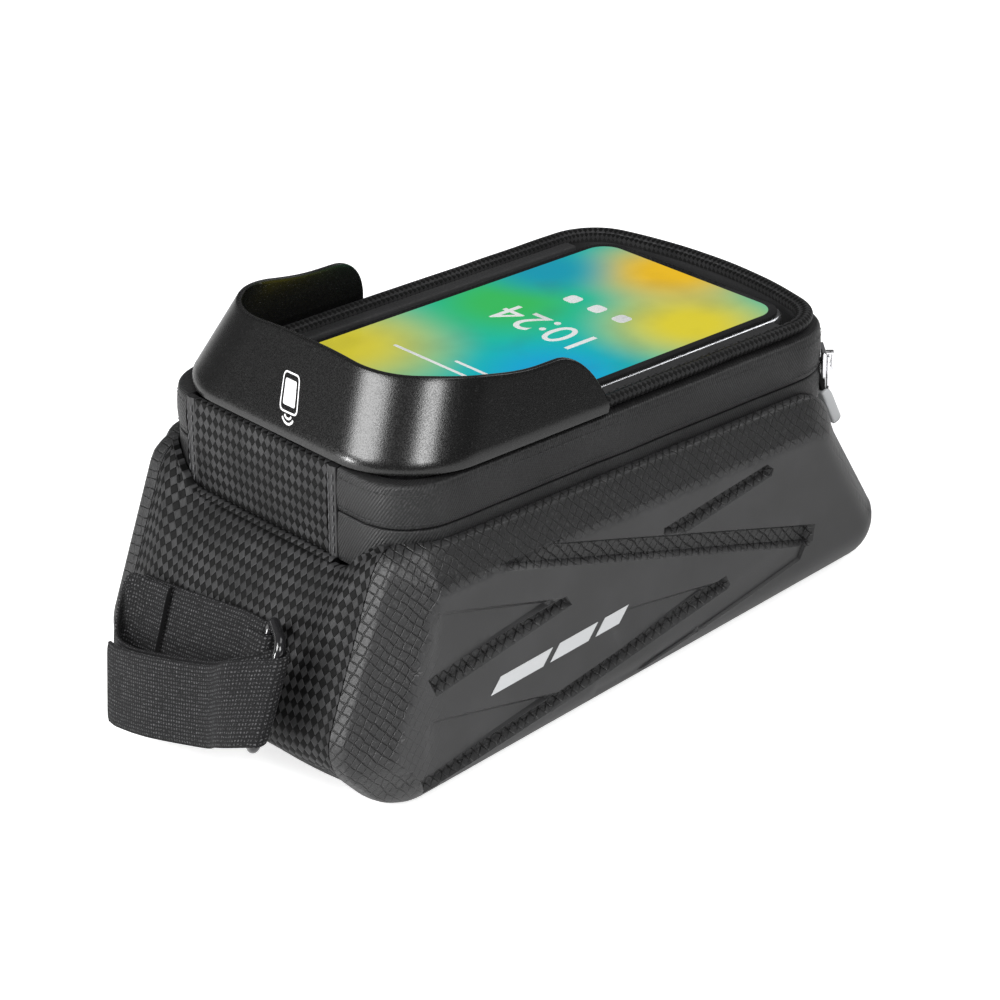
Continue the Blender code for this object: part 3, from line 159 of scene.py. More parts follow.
def lid_to_bag(x, z):
    bag_x = x * math.cos(LID_PITCH) - z * math.sin(LID_PITCH)
    bag_z = x * math.sin(LID_PITCH) + z * math.cos(LID_PITCH) + LID_HEIGHT
    return bag_x, bag_z


def bag_to_lid(x, z):
    height = z - LID_HEIGHT
    lid_x = x * math.cos(LID_PITCH) + height * math.sin(LID_PITCH)
    lid_z = height * math.cos(LID_PITCH) - x * math.sin(LID_PITCH)
    return lid_x, lid_z


def in_lid(point):
    x, z = lid_to_bag(point[0], point[2])
    return Vector((x + BAG_X, point[1], z))


def in_bag(point):
    return Vector((point[0] + BAG_X, point[1], point[2]))


def smooth_step(value, start, end):
    share = min(1.0, max(0.0, (value - start) / (end - start)))
    return share * share * (3 - 2 * share)


def spaced(start, end, step):
    count = max(1, round(abs(end - start) / step))
    return [start + (end - start) * i / count for i in range(count + 1)]


def smooth_curve(points, steps):
    """A curve through the points, as a Catmull-Rom spline."""
    vectors = [Vector(p) for p in points]
    full = [vectors[0] * 2 - vectors[1]] + vectors + [vectors[-1] * 2 - vectors[-2]]
    curve = []
    for k in range(1, len(full) - 2):
        a, b, c, d = full[k - 1:k + 3]
        for step in range(steps):
            t = step / steps
            curve.append(0.5 * (2 * b + (c - a) * t + (2 * a - 5 * b + 4 * c - d) * t * t
                                + (3 * b - a - 3 * c + d) * t ** 3))
    curve.append(vectors[-1])
    return curve


# The lid's outline: t runs round it from the middle of the front, past the left side

def outline_marks(front_radius):
    """Where the outline's front corner, side, rear corner and rear arc start, and its half length."""
    corner = LID_HALF_WIDTH - front_radius
    side = corner + front_radius * math.pi / 2
    rear_corner = side + LID_FRONT_X - front_radius - LID_REAR_CORNER_X
    arc = rear_corner + LID_REAR_RADIUS * REAR_CORNER_TURN
    return corner, side, rear_corner, arc, arc + LID_REAR_ARC_RADIUS * REAR_ARC_TURN


def around(t, offset=0.0, front_radius=LID_FRONT_RADIUS):
    corner, side_start, rear_corner, arc, end = outline_marks(front_radius)
    s = t if t <= end else t - 2 * end
    side = -1.0 if s < 0 else 1.0
    run = abs(s)
    if run <= corner:
        x, y, angle = LID_FRONT_X, run, 0.0
    elif run <= side_start:
        angle = (run - corner) / front_radius
        x = LID_FRONT_X - front_radius + front_radius * math.cos(angle)
        y = corner + front_radius * math.sin(angle)
    elif run <= rear_corner:
        x, y, angle = LID_FRONT_X - front_radius - (run - side_start), LID_HALF_WIDTH, math.pi / 2
    elif run <= arc:
        angle = math.pi / 2 + (run - rear_corner) / LID_REAR_RADIUS
        x = LID_REAR_CORNER_X + LID_REAR_RADIUS * math.cos(angle)
        y = REAR_CORNER_Y + LID_REAR_RADIUS * math.sin(angle)
    else:
        angle = math.pi - (end - run) / LID_REAR_ARC_RADIUS
        x = REAR_ARC_X + LID_REAR_ARC_RADIUS * math.cos(angle)
        y = LID_REAR_ARC_RADIUS * math.sin(angle)
    return x + offset * math.cos(angle), side * (y + offset * math.sin(angle))


def rim_around(t, offset=0.0):
    """The rim's outline lies inside the band's, and takes the wider bend of the visor."""
    return around(t, offset - RIM_INSET, RIM_FRONT_RADIUS)


LID_HALF_PERIMETER = outline_marks(LID_FRONT_RADIUS)[-1]
RIM_HALF_PERIMETER = outline_marks(RIM_FRONT_RADIUS)[-1]
TAPE_START = FRONT_BAND_LEFT + SEAM_STRIP_WIDTH + SEAT_GAP
TAPE_END = 2 * LID_HALF_PERIMETER - FRONT_BAND_RIGHT - SEAM_STRIP_WIDTH - SEAT_GAP


def outward(t):
    inner = around(t, 0.0)
    outer = around(t, 1.0)
    return Vector((outer[0] - inner[0], outer[1] - inner[1], 0.0))


def lid_half_width_at(x):
    over = x - FRONT_CORNER_X
    if over > 0:
        reach = LID_FRONT_RADIUS ** 2 - over ** 2
        return FRONT_CORNER_Y + math.sqrt(reach) if reach > 0 else 0.0
    if x > LID_REAR_CORNER_X:
        return LID_HALF_WIDTH
    if x > LID_REAR_CORNER_X - LID_REAR_RADIUS * math.sin(REAR_CORNER_TURN):
        return REAR_CORNER_Y + math.sqrt(LID_REAR_RADIUS ** 2 - (x - LID_REAR_CORNER_X) ** 2)
    reach = LID_REAR_ARC_RADIUS ** 2 - (x - REAR_ARC_X) ** 2
    return math.sqrt(reach) if reach > 0 else 0.0


def lid_front_x_at(y):
    over = abs(y) - FRONT_CORNER_Y
    if over <= 0:
        return LID_FRONT_X
    return FRONT_CORNER_X + math.sqrt(max(0.0, LID_FRONT_RADIUS ** 2 - over ** 2))


def lid_rear_x_at(y):
    if abs(y) <= LID_REAR_ARC_RADIUS * math.sin(REAR_ARC_TURN):
        return REAR_ARC_X - math.sqrt(LID_REAR_ARC_RADIUS ** 2 - y ** 2)
    over = abs(y) - REAR_CORNER_Y
    return LID_REAR_CORNER_X - math.sqrt(max(0.0, LID_REAR_RADIUS ** 2 - over ** 2))


# Meshes from rows of points; where places on the cloth are given, every face carries its place, in metres

def build_mesh(name, vertices, faces, uvs=None, sharp=40.0, merge=0.0, net=None):
    mesh = bpy.data.meshes.new(name)
    mesh.from_pydata([Vector(v) * MM for v in vertices], [], faces)
    if uvs:
        layer = mesh.uv_layers.new(name="cloth")
        layer.data.foreach_set("uv", [value * MM for face in uvs for pair in face for value in pair])
    if net is not None:
        mesh.attributes.new("net", "FLOAT", "POINT").data.foreach_set("value", net)
    work = bmesh.new()
    work.from_mesh(mesh)
    if merge:
        bmesh.ops.remove_doubles(work, verts=work.verts, dist=merge * MM)
    bmesh.ops.recalc_face_normals(work, faces=work.faces)
    work.to_mesh(mesh)
    work.free()
    mesh.shade_smooth()
    mesh.set_sharp_from_angle(angle=math.radians(sharp))
    return mesh


def dress(name, mesh, material, body, slot, *nodes):
    """A visible piece: it rides on a body, wears the given material and may stand for nodes; slot is not
    used.
    """
    made = bpy.data.objects.new(name, mesh)
    bpy.context.scene.collection.objects.link(made)
    mesh.materials.append(material)
    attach(made, body)
    if nodes:
        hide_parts(*nodes)
    return made


def dress_solid(name, solid, material, body, slot, *nodes, **options):
    """Dress a solid that is given as vertices, faces and places on the cloth."""
    return dress(name, build_mesh(name, *solid, **options), material, body, slot, *nodes)


def lengths(points):
    total = [0.0]
    for before, after in zip(points, points[1:]):
        total.append(total[-1] + (Vector(after) - Vector(before)).length)
    return total


def loft(sections, wrap):
    """Closed sections joined in a row; with wrap the last one meets the first."""
    count = len(sections[0])
    vertices = [point for section in sections for point in section]
    along = lengths([section[0] for section in sections] + ([sections[0][0]] if wrap else []))
    across = lengths(list(sections[0]) + [sections[0][0]])
    faces = []
    uvs = []
    steps = len(sections) if wrap else len(sections) - 1
    for step in range(steps):
        here = step * count
        there = (step + 1) % len(sections) * count
        for i in range(count):
            j = (i + 1) % count
            faces.append((here + i, here + j, there + j, there + i))
            uvs.append(((along[step], across[i]), (along[step], across[i + 1]),
                        (along[step + 1], across[i + 1]), (along[step + 1], across[i])))
    if not wrap:
        for start in (0, steps * count):
            faces.append(tuple(range(start, start + count)))
            uvs.append(((0.0, 0.0),) * count)
    return vertices, faces, uvs


def sheet(outer, inner):
    """A sheet with thickness: two grids of points, joined round their edges."""
    rows = len(outer)
    count = len(outer[0])
    vertices = [point for row in outer for point in row] + [point for row in inner for point in row]
    middle = count // 2
    along = lengths([row[middle] for row in outer])
    across = [lengths(row) for row in outer]
    back = rows * count
    faces = []
    uvs = []

    def place(r, i):
        return along[r], across[r][i] - across[r][middle]

    for r in range(rows - 1):
        for i in range(count - 1):
            a = r * count + i
            corners = (place(r, i), place(r, i + 1), place(r + 1, i + 1), place(r + 1, i))
            faces.append((a, a + 1, a + count + 1, a + count))
            uvs.append(corners)
            faces.append((back + a + count, back + a + count + 1, back + a + 1, back + a))
            uvs.append(tuple(reversed(corners)))
        for i in (0, count - 1):
            a = r * count + i
            faces.append((a, a + count, back + a + count, back + a))
            uvs.append((place(r, i), place(r + 1, i), place(r + 1, i), place(r, i)))
    for r in (0, rows - 1):
        for i in range(count - 1):
            a = r * count + i
            faces.append((a, a + 1, back + a + 1, back + a))
            uvs.append((place(r, i), place(r, i + 1), place(r, i + 1), place(r, i)))
    return vertices, faces, uvs


WAVE_SIZE = 16.0


def strip(section, start, end, step=2.0, wrap=False, waves=0.0, path=around):
    """A strip along the lid's outline; its section is in offset and height."""
    sections = []
    places = spaced(start, end, step)
    if wrap:
        places = places[:-1]
    for t in places:
        ring = []
        for offset, height in section:
            x, y = path(t, offset)
            if waves:
                x, y = path(t, offset + waves * noise.noise(Vector((x, y, height)) / WAVE_SIZE))
            ring.append(in_lid((x, y, height)))
        sections.append(ring)
    return loft(sections, wrap)


def rounded_bar(low, high, inner, outer, edge, bulge=0.0, steps=8):
    """Section of a strip of cloth, from offset inner to outer, with soft edges."""
    points = [(inner, low), (inner, high)]
    corner = min(edge, (high - low) / 3)
    for k in range(4):
        angle = math.pi / 2 * (1 - k / 3)
        points.append((outer - corner + corner * math.cos(angle), high - corner + corner * math.sin(angle)))
    for k in range(1, steps):
        share = k / steps
        height = high - corner + (low - high + 2 * corner) * share
        points.append((outer + bulge * math.sin(math.pi * share), height))
    for k in range(4):
        angle = -math.pi / 2 * k / 3
        points.append((outer - corner + corner * math.cos(angle), low + corner + corner * math.sin(angle)))
    return points


def stitch_row(name, path, material, body, slot, stitch):
    """Thread over cloth: path is a row of points with the cloth's outward direction."""
    length, gap, thick = stitch
    points = [p for p, out in path]
    run = lengths(points)
    vertices = []
    faces = []

    def at(distance):
        k = 0
        while k < len(run) - 2 and run[k + 1] < distance:
            k += 1
        share = (distance - run[k]) / max(1e-6, run[k + 1] - run[k])
        return points[k].lerp(points[k + 1], share), path[k][1].lerp(path[k + 1][1], share).normalized()

    distance = gap
    sides = 6
    shares = ((0.0, 0.35, -0.8), (0.12, 0.85, 0.1), (0.5, 1.0, 0.5), (0.88, 0.85, 0.1), (1.0, 0.35, -0.8))
    while distance + length < run[-1]:
        base = len(vertices)
        for share, wide, rise in shares:
            point, out = at(distance + length * share)
            ahead = at(min(run[-1], distance + length * share + 0.2))[0]
            behind = at(max(0.0, distance + length * share - 0.2))[0]
            along = (ahead - behind).normalized()
            side = along.cross(out).normalized()
            for k in range(sides):
                angle = k * 2 * math.pi / sides
                vertices.append(point + side * (thick * wide * 1.2 * math.cos(angle))
                                + out * (thick * (rise + wide * math.sin(angle))))
        for ring in range(len(shares) - 1):
            for k in range(sides):
                a = base + ring * sides + k
                b = base + ring * sides + (k + 1) % sides
                faces.append((a, b, b + sides, a + sides))
        faces.append(tuple(base + k for k in range(sides)))
        faces.append(tuple(base + (len(shares) - 1) * sides + k for k in range(sides)))
        distance += length + gap
    return dress_solid(name, (vertices, faces), material, body, slot)


def cloth_point(t, offset, height):
    """A place on the band round the lid, with the cloth's outward direction there."""
    x, y = around(t, offset)
    point = in_lid((x, y, height))
    return point, (in_lid(Vector((x, y, height)) + outward(t)) - point).normalized()


def lid_path(start, end, offset, height, step=1.0):
    return [cloth_point(t, offset, height) for t in spaced(start, end, step)]


def soft_copy(name, node, material, body, slot, bevel=0.3, segments=2, angle=30.0):
    """A node's own form with its edges rounded."""
    mesh = frame["nodes"][node].data.copy()
    mesh.name = name
    mesh.materials.clear()
    work = bmesh.new()
    work.from_mesh(mesh)
    bmesh.ops.remove_doubles(work, verts=work.verts, dist=0.00001)
    bmesh.ops.dissolve_limit(work, angle_limit=math.radians(1.0), verts=work.verts, edges=work.edges)
    edges = [e for e in work.edges if e.is_manifold and e.calc_face_angle(0.0) > math.radians(angle)]
    bmesh.ops.bevel(work, geom=edges, offset=bevel * MM, segments=segments, profile=0.5,
                    affect="EDGES", clamp_overlap=True)
    bmesh.ops.recalc_face_normals(work, faces=work.faces)
    work.to_mesh(mesh)
    work.free()
    mesh.shade_smooth()
    mesh.set_sharp_from_angle(angle=math.radians(40.0))
    return dress(name, mesh, material, body, slot, node)


# Materials

class Look:
    """A Principled material, with short calls for its nodes."""

    def __init__(self, name, colour, roughness, **sockets):
        self.material = bpy.data.materials.new(name)
        self.material.use_nodes = True
        self.tree = self.material.node_tree
        self.shader = self.tree.nodes["Principled BSDF"]
        self.set("Base Color", (*colour, 1.0))
        self.set("Roughness", roughness)
        for socket, value in sockets.items():
            self.set(socket.replace("_", " ").title().replace("Ior", "IOR"), value)
        self.height = None

    def set(self, socket, value):
        self.shader.inputs[socket].default_value = value

    def link(self, source, socket):
        self.tree.links.new(source, self.shader.inputs[socket])

    def node(self, kind, values=(), **props):
        made = self.tree.nodes.new(kind)
        for key, value in props.items():
            setattr(made, key, value)
        for socket, value in values:
            if isinstance(value, bpy.types.NodeSocket):
                self.tree.links.new(value, made.inputs[socket])
            else:
                made.inputs[socket].default_value = value
        return made

    def math(self, operation, *values):
        return self.node("ShaderNodeMath", list(enumerate(values)), operation=operation).outputs[0]

    def times(self, a, b):
        return self.math("MULTIPLY", a, b)

    def plus(self, a, b):
        return self.math("ADD", a, b)

    def minus(self, a, b):
        return self.math("SUBTRACT", a, b)

    def place(self, kind="UV"):
        """x, y and z of the surface's place, in metres."""
        source = self.node("ShaderNodeTexCoord").outputs[kind]
        split = self.node("ShaderNodeSeparateXYZ", [(0, source)])
        return [split.outputs[i] for i in range(3)]

    def vector(self, x, y, z=0.0):
        return self.node("ShaderNodeCombineXYZ", [(0, x), (1, y), (2, z)]).outputs[0]

    def noise(self, size, detail=2.0, rough=0.5):
        """Noise from 0 to 1 whose blotches measure about size, in millimetres."""
        vector = self.node("ShaderNodeTexCoord").outputs["Object"]
        made = self.node("ShaderNodeTexNoise", [("Vector", vector), ("Scale", 1 / (size * MM)),
                                                ("Detail", detail), ("Roughness", rough)])
        return made.outputs["Fac"]

    def ramp(self, value, low, high, out_low=0.0, out_high=1.0):
        made = self.node("ShaderNodeMapRange", [("Value", value), ("From Min", low), ("From Max", high),
                                                ("To Min", out_low), ("To Max", out_high)])
        made.interpolation_type = "SMOOTHSTEP"
        return made.outputs["Result"]

    def mix(self, share, a, b):
        made = self.node("ShaderNodeMix", data_type="RGBA")
        for socket, value in ((0, share), (6, a), (7, b)):
            if isinstance(value, bpy.types.NodeSocket):
                self.tree.links.new(value, made.inputs[socket])
            else:
                made.inputs[socket].default_value = value if socket == 0 else (*value, 1.0)
        return made.outputs[2]

    def wave(self, value, pitch):
        """A rounded ridge from 0 to 1, repeated every pitch millimetres."""
        turns = self.times(value, math.pi / (pitch * MM))
        return self.math("ABSOLUTE", self.math("SINE", turns))

    def cell_edge(self, value, pitch):
        """1 at the edges of cells pitch millimetres wide, and 0 at their middles."""
        turns = self.math("FRACT", self.times(value, 1 / (pitch * MM)))
        return self.times(self.math("ABSOLUTE", self.minus(turns, 0.5)), 2.0)

    def parity(self, value, pitch):
        cell = self.math("FLOOR", self.times(value, 1 / (pitch * MM)))
        return self.math("FLOORED_MODULO", cell, 2.0)

    def bump(self, height, depth):
        """Depth in millimetres of a height that runs from 0 to 1."""
        values = [("Height", height), ("Distance", depth * MM), ("Strength", 1.0)]
        if self.height is not None:
            values.append(("Normal", self.height))
        self.height = self.node("ShaderNodeBump", values).outputs["Normal"]
        self.link(self.height, "Normal")


def checker_cloth(name, dark, light, wide=2.6, tall=3.6, depth=0.14):
    """Coated cloth embossed with small diamonds, in turn ribbed one way and the other. The pale diamonds are
    partly the cloth's own lighter tone and partly painted sheen.
    """
    look = Look(name, dark, 0.5, specular_ior_level=0.12)
    u, v = look.place()[:2]
    across = look.times(u, 1 / (wide * MM))
    along = look.times(v, 1 / (tall * MM))
    p = look.times(look.plus(across, along), MM)
    q = look.times(look.minus(across, along), MM)
    even = look.math("ABSOLUTE", look.minus(look.parity(p, 1.0), look.parity(q, 1.0)))
    edge = look.math("MAXIMUM", look.cell_edge(p, 1.0), look.cell_edge(q, 1.0))
    dome = look.ramp(edge, 1.0, 0.7)
    ribs = look.node("ShaderNodeMix", [(0, even), (2, look.wave(p, 0.2)), (3, look.wave(q, 0.2))]).outputs[0]
    blotch = look.ramp(look.noise(11.0, 3.0), 0.3, 0.7, 0.55, 1.0)
    # The pale diamonds' colour is partly their own lighter tone and partly painted sheen, from the way their
    # ribs face the light; the rib grooves carry painted shade.
    lit = look.times(even, look.ramp(ribs, 0.0, 1.0, 0.5, 1.0))
    shade = look.times(lit, blotch)
    look.link(look.mix(shade, dark, light), "Base Color")
    look.link(look.ramp(even, 0.0, 1.0, 0.6, 0.42), "Roughness")
    height = look.plus(look.times(dome, 0.5), look.times(ribs, 0.2))
    look.bump(look.plus(height, look.times(even, 0.3)), depth)
    return look.material


def twill_cloth(name, colour, pitch=0.75, depth=0.09, roughness=0.5):
    look = Look(name, colour, roughness, specular_ior_level=0.3)
    u, v = look.place()[:2]
    slant = look.plus(u, look.times(v, 0.6))
    lines = look.wave(slant, pitch)
    grain = look.noise(0.55, 2.0)
    blotch = look.ramp(look.noise(14.0, 3.0), 0.3, 0.7)
    cloth = look.mix(blotch, tuple(c * 0.75 for c in colour), tuple(c * 1.3 for c in colour))
    thread = look.times(look.ramp(lines, 0.2, 0.9), look.ramp(grain, 0.35, 0.65))
    look.link(look.mix(thread, tuple(c * 0.4 for c in colour), cloth), "Base Color")
    look.link(look.ramp(grain, 0.3, 0.7, roughness - 0.1, roughness + 0.12), "Roughness")
    look.bump(look.plus(look.times(lines, 0.7), look.times(grain, 0.6)), depth)
    return look.material


def plain_cloth(name, colour, roughness=0.45, depth=0.08):
    look = Look(name, colour, roughness)
    grain = look.noise(0.7, 3.0, 0.6)
    blotch = look.noise(6.0, 2.0)
    look.link(look.mix(blotch, tuple(c * 0.7 for c in colour), tuple(c * 1.35 for c in colour)), "Base Color")
    look.link(look.ramp(grain, 0.3, 0.7, roughness - 0.1, roughness + 0.12), "Roughness")
    look.bump(grain, depth)
    return look.material


# The net of the pods' skin
NET_PITCH = 3.2
NET_SLANT = 0.82
NET_DEPTH = 0.34


def pod_skin():
    """Satin foam skin; the net attribute brings up the embossed net of small scales."""
    look = Look("pod_skin", (0.03, 0.03, 0.031), 0.42, specular_ior_level=0.45)
    x, y, z = look.place("Object")
    out = look.minus(POD_FACE_Y * MM, look.math("ABSOLUTE", y))
    u = look.plus(x, look.times(out, 0.5))
    v = look.plus(z, look.times(out, 0.5))
    wobble = look.times(look.minus(look.noise(5.0), 0.5), 0.0022)
    u = look.plus(u, wobble)
    p = look.plus(u, look.times(v, NET_SLANT))
    q = look.minus(u, look.times(v, NET_SLANT))
    edge = look.math("MAXIMUM", look.cell_edge(p, NET_PITCH), look.cell_edge(q, NET_PITCH))
    groove = look.ramp(edge, 0.78, 0.96)
    net = look.node("ShaderNodeAttribute", attribute_name="net").outputs["Fac"]
    fleck = look.ramp(look.noise(0.8, 2.0), 0.55, 0.7)
    grain = look.noise(0.5, 2.0)
    blotch = look.ramp(look.noise(22.0, 3.0), 0.35, 0.65)
    face = look.mix(blotch, (0.022, 0.022, 0.0225), (0.030, 0.030, 0.031))
    scale = look.mix(look.times(fleck, 0.5), (0.016, 0.016, 0.0165), (0.055, 0.055, 0.056))
    scale = look.mix(groove, scale, (0.002, 0.002, 0.002))
    look.link(look.mix(net, face, scale), "Base Color")
    rough = look.plus(look.times(net, 0.04), look.times(grain, 0.1))
    look.link(look.plus(rough, 0.36), "Roughness")
    look.bump(grain, 0.02)
    scales = look.minus(look.plus(1.0, look.times(grain, 0.3)), groove)
    look.bump(look.times(scales, net), NET_DEPTH)
    return look.material


def sand_plastic():
    look = Look("visor_plastic", (0.005, 0.005, 0.005), 0.24, specular_ior_level=0.5)
    grain = look.noise(0.36, 1.0, 0.4)
    look.link(look.ramp(grain, 0.35, 0.65, 0.2, 0.3), "Roughness")
    # The pale flecks in the colour are painted glints: the sparkle of the sanded surface where light falls on
    # it.
    fleck = look.ramp(look.noise(0.5, 1.0), 0.62, 0.76)
    look.link(look.mix(fleck, (0.005, 0.005, 0.005), (0.02, 0.02, 0.02)), "Base Color")
    look.bump(grain, 0.02)
    return look.material


def woven_strap():
    """Hook-and-loop tape: rows of loops along it, each loop a pale speck."""
    look = Look("strap_cloth", (0.02, 0.02, 0.022), 0.8, specular_ior_level=0.2)
    u, v = look.place()[:2]
    ribs = look.wave(v, 1.15)
    cross = look.wave(u, 0.95)
    tuft = look.noise(0.4, 3.0, 0.7)
    dots = look.times(look.ramp(ribs, 0.45, 0.9), look.ramp(cross, 0.4, 0.85))
    speckle = look.times(dots, look.ramp(tuft, 0.46, 0.62))
    look.link(look.mix(speckle, (0.008, 0.008, 0.0085), (0.12, 0.12, 0.124)), "Base Color")
    height = look.plus(look.times(dots, 0.8), look.times(tuft, 0.6))
    look.bump(height, 0.24)
    return look.material


def plain_plastic(name, colour, roughness, grain_size=0.6, depth=0.02, **sockets):
    look = Look(name, colour, roughness, **sockets)
    grain = look.noise(grain_size, 2.0)
    look.link(look.ramp(grain, 0.3, 0.7, max(0.02, roughness - 0.05), roughness + 0.06), "Roughness")
    if depth:
        look.bump(grain, depth)
    return look.material


def metal(name, colour, roughness, brushed=0.0):
    look = Look(name, colour, roughness, metallic=1.0)
    smear = look.noise(2.5, 3.0)
    look.link(look.ramp(smear, 0.3, 0.7, max(0.03, roughness - 0.05), roughness + 0.07), "Roughness")
    if brushed:
        x, y, z = look.place("Object")
        lines = look.node("ShaderNodeTexNoise", [
            ("Vector", look.vector(look.times(x, 40.0), y, look.times(z, 3000.0))),
            ("Scale", 1.0), ("Detail", 2.0)]).outputs["Fac"]
        look.bump(lines, brushed)
    return look.material


def clear_film():
    """Film over the phone: almost clear where it faces the eye, and glossy on the slant."""
    look = Look("window_film", (0.05, 0.05, 0.05), 0.05, specular_ior_level=0.9)
    facing = look.node("ShaderNodeLayerWeight", [("Blend", 0.3)]).outputs["Facing"]
    smear = look.noise(18.0, 2.0)
    alpha = look.plus(look.times(facing, 0.1), look.ramp(smear, 0.45, 0.75, 0.02, 0.07))
    look.link(alpha, "Alpha")
    look.link(look.ramp(smear, 0.3, 0.7, 0.03, 0.1), "Roughness")
    return look.material


SCREEN_FIELDS = (
    # middle x and y on the lid, reach, colour
    (66.0, 26.0, 34.0, (0.85, 0.36, 0.01)),
    (38.0, -30.0, 44.0, (0.62, 0.55, 0.04)),
    (8.0, 26.0, 34.0, (0.00, 0.34, 0.62)),
    (-18.0, -22.0, 34.0, (0.03, 0.46, 0.10)),
    (-46.0, 26.0, 36.0, (0.68, 0.58, 0.03)),
    (-70.0, -6.0, 34.0, (0.80, 0.48, 0.01)),
    (-44.0, -32.0, 26.0, (0.00, 0.30, 0.42)),
)


def screen_glow():
    """Plain fields of colour that run into each other, behind glass."""
    look = Look("screen_glow", (0.01, 0.42, 0.45), 0.12, specular_ior_level=0.15)
    x, y = look.place("Object")[:2]
    shade = look.node("ShaderNodeRGB").outputs[0]
    shade.default_value = (0.0, 0.46, 0.36, 1.0)
    for field_x, field_y, reach, colour in SCREEN_FIELDS:
        middle = in_lid((field_x, field_y, PHONE_TOP)) * MM
        away_x = look.minus(x, middle.x)
        away_y = look.minus(y, middle.y)
        far = look.math("SQRT", look.plus(look.times(away_x, away_x), look.times(away_y, away_y)))
        share = look.ramp(far, reach * MM, reach * MM * 0.15)
        shade = look.mix(share, shade, colour)
    look.link(look.mix(0.8, shade, (0.0, 0.0, 0.0)), "Base Color")
    look.link(shade, "Emission Color")
    look.set("Emission Strength", 0.95)
    return look.material


CHECKER = checker_cloth("checker_cloth", (0.0025, 0.0025, 0.0025), (0.044, 0.044, 0.045))
RIM_CHECKER = checker_cloth("rim_checker", (0.004, 0.004, 0.004), (0.04, 0.04, 0.041), 1.7, 2.2, 0.1)
TWILL = twill_cloth("tape_twill", (0.028, 0.028, 0.0285), 0.85, 0.13, 0.44)
EDGE_CLOTH = plain_cloth("edge_cloth", (0.014, 0.014, 0.0145))
LINING = plain_cloth("lining_cloth", (0.014, 0.014, 0.015), 0.7, 0.12)
POD_SKIN = pod_skin()
VISOR_PLASTIC = sand_plastic()
STRAP_CLOTH = woven_strap()
THREAD = plain_cloth("thread", (0.02, 0.02, 0.021), 0.6, 0.05)
PALE_THREAD = plain_cloth("pale_thread", (0.07, 0.07, 0.073), 0.6, 0.05)
RING_PLASTIC = plain_plastic("ring_gloss", (0.012, 0.012, 0.013), 0.16, coat_weight=0.4)
COIL_PLASTIC = plain_plastic("coil_nylon", (0.02, 0.02, 0.021), 0.38)
BOARD_PLASTIC = plain_plastic("board_plastic", (0.025, 0.025, 0.026), 0.6, 0.8, 0.05)
CHROME = metal("bright_chrome", (0.82, 0.82, 0.84), 0.13)
PHONE_EDGE = metal("phone_edge", (0.55, 0.56, 0.58), 0.24, 0.01)
BLACK_GLASS = plain_plastic("black_glass", (0.004, 0.004, 0.005), 0.06, 6.0, 0.0)
PULL_RUBBER = plain_plastic("pull_rubber", (0.55, 0.56, 0.57), 0.45, 0.5, 0.03)
SCREEN = screen_glow()
FILM = clear_film()
PRINT_WHITE = plain_plastic("print_white", (0.8, 0.8, 0.8), 0.5, 0.5, 0.01)
REFLECTIVE = plain_plastic("reflective_print", (0.62, 0.63, 0.64), 0.35, 0.35, 0.02)
ICON_WHITE = plain_plastic("icon_white", (0.9, 0.92, 0.92), 0.3, 1.0, 0.0)


# Lid: rim, window, phone and visor

def make_rim():
    bead = RIM_HEIGHT / 2
    section = []
    for step in range(13):
        angle = -math.pi / 2 + step * math.pi / 12
        section.append((-bead + bead * math.cos(angle), bead + bead * math.sin(angle)))
    section += [(-2.9, RIM_HEIGHT - 0.3), (-3.5, RIM_HEIGHT - 0.75), (-4.4, RIM_HEIGHT - 0.8),
                (-RIM_WIDTH, RIM_HEIGHT - 1.1), (-RIM_WIDTH, 0.4), (-bead, 0.1)]
    solid = strip(section, 0.0, 2 * RIM_HALF_PERIMETER, wrap=True, waves=0.25, path=rim_around)
    dress_solid("rim_piping", solid, RIM_CHECKER, "lid", "rim_fabric", "lid_rim")
    stitches = []
    for t in spaced(0.0, 2 * RIM_HALF_PERIMETER, 1.0):
        x, y = rim_around(t, -3.9)
        stitches.append((in_lid((x, y, RIM_HEIGHT - 0.7)), Vector((0.0, 0.0, 1.0))))
    stitch_row("rim_stitches", stitches, THREAD, "lid", "rim_fabric", RIM_STITCH)


def inside_outline(points, outline):
    """For rows of x and y: whether each is inside a closed outline, and its distance to it."""
    inside = np.zeros(len(points), bool)
    nearest = np.full(len(points), 1e9)
    for k in range(len(outline)):
        ax, ay = outline[k - 1]
        bx, by = outline[k]
        crosses = (ay > points[:, 1]) != (by > points[:, 1])
        with np.errstate(divide="ignore", invalid="ignore"):
            at = ax + (points[:, 1] - ay) * (bx - ax) / (by - ay)
        inside ^= crosses & (points[:, 0] < at)
        run = np.array((bx - ax, by - ay))
        share = ((points[:, 0] - ax) * run[0] + (points[:, 1] - ay) * run[1]) / max(1e-9, run @ run)
        share = np.clip(share, 0.0, 1.0)
        away = np.hypot(points[:, 0] - ax - share * run[0], points[:, 1] - ay - share * run[1])
        nearest = np.minimum(nearest, away)
    return inside, nearest


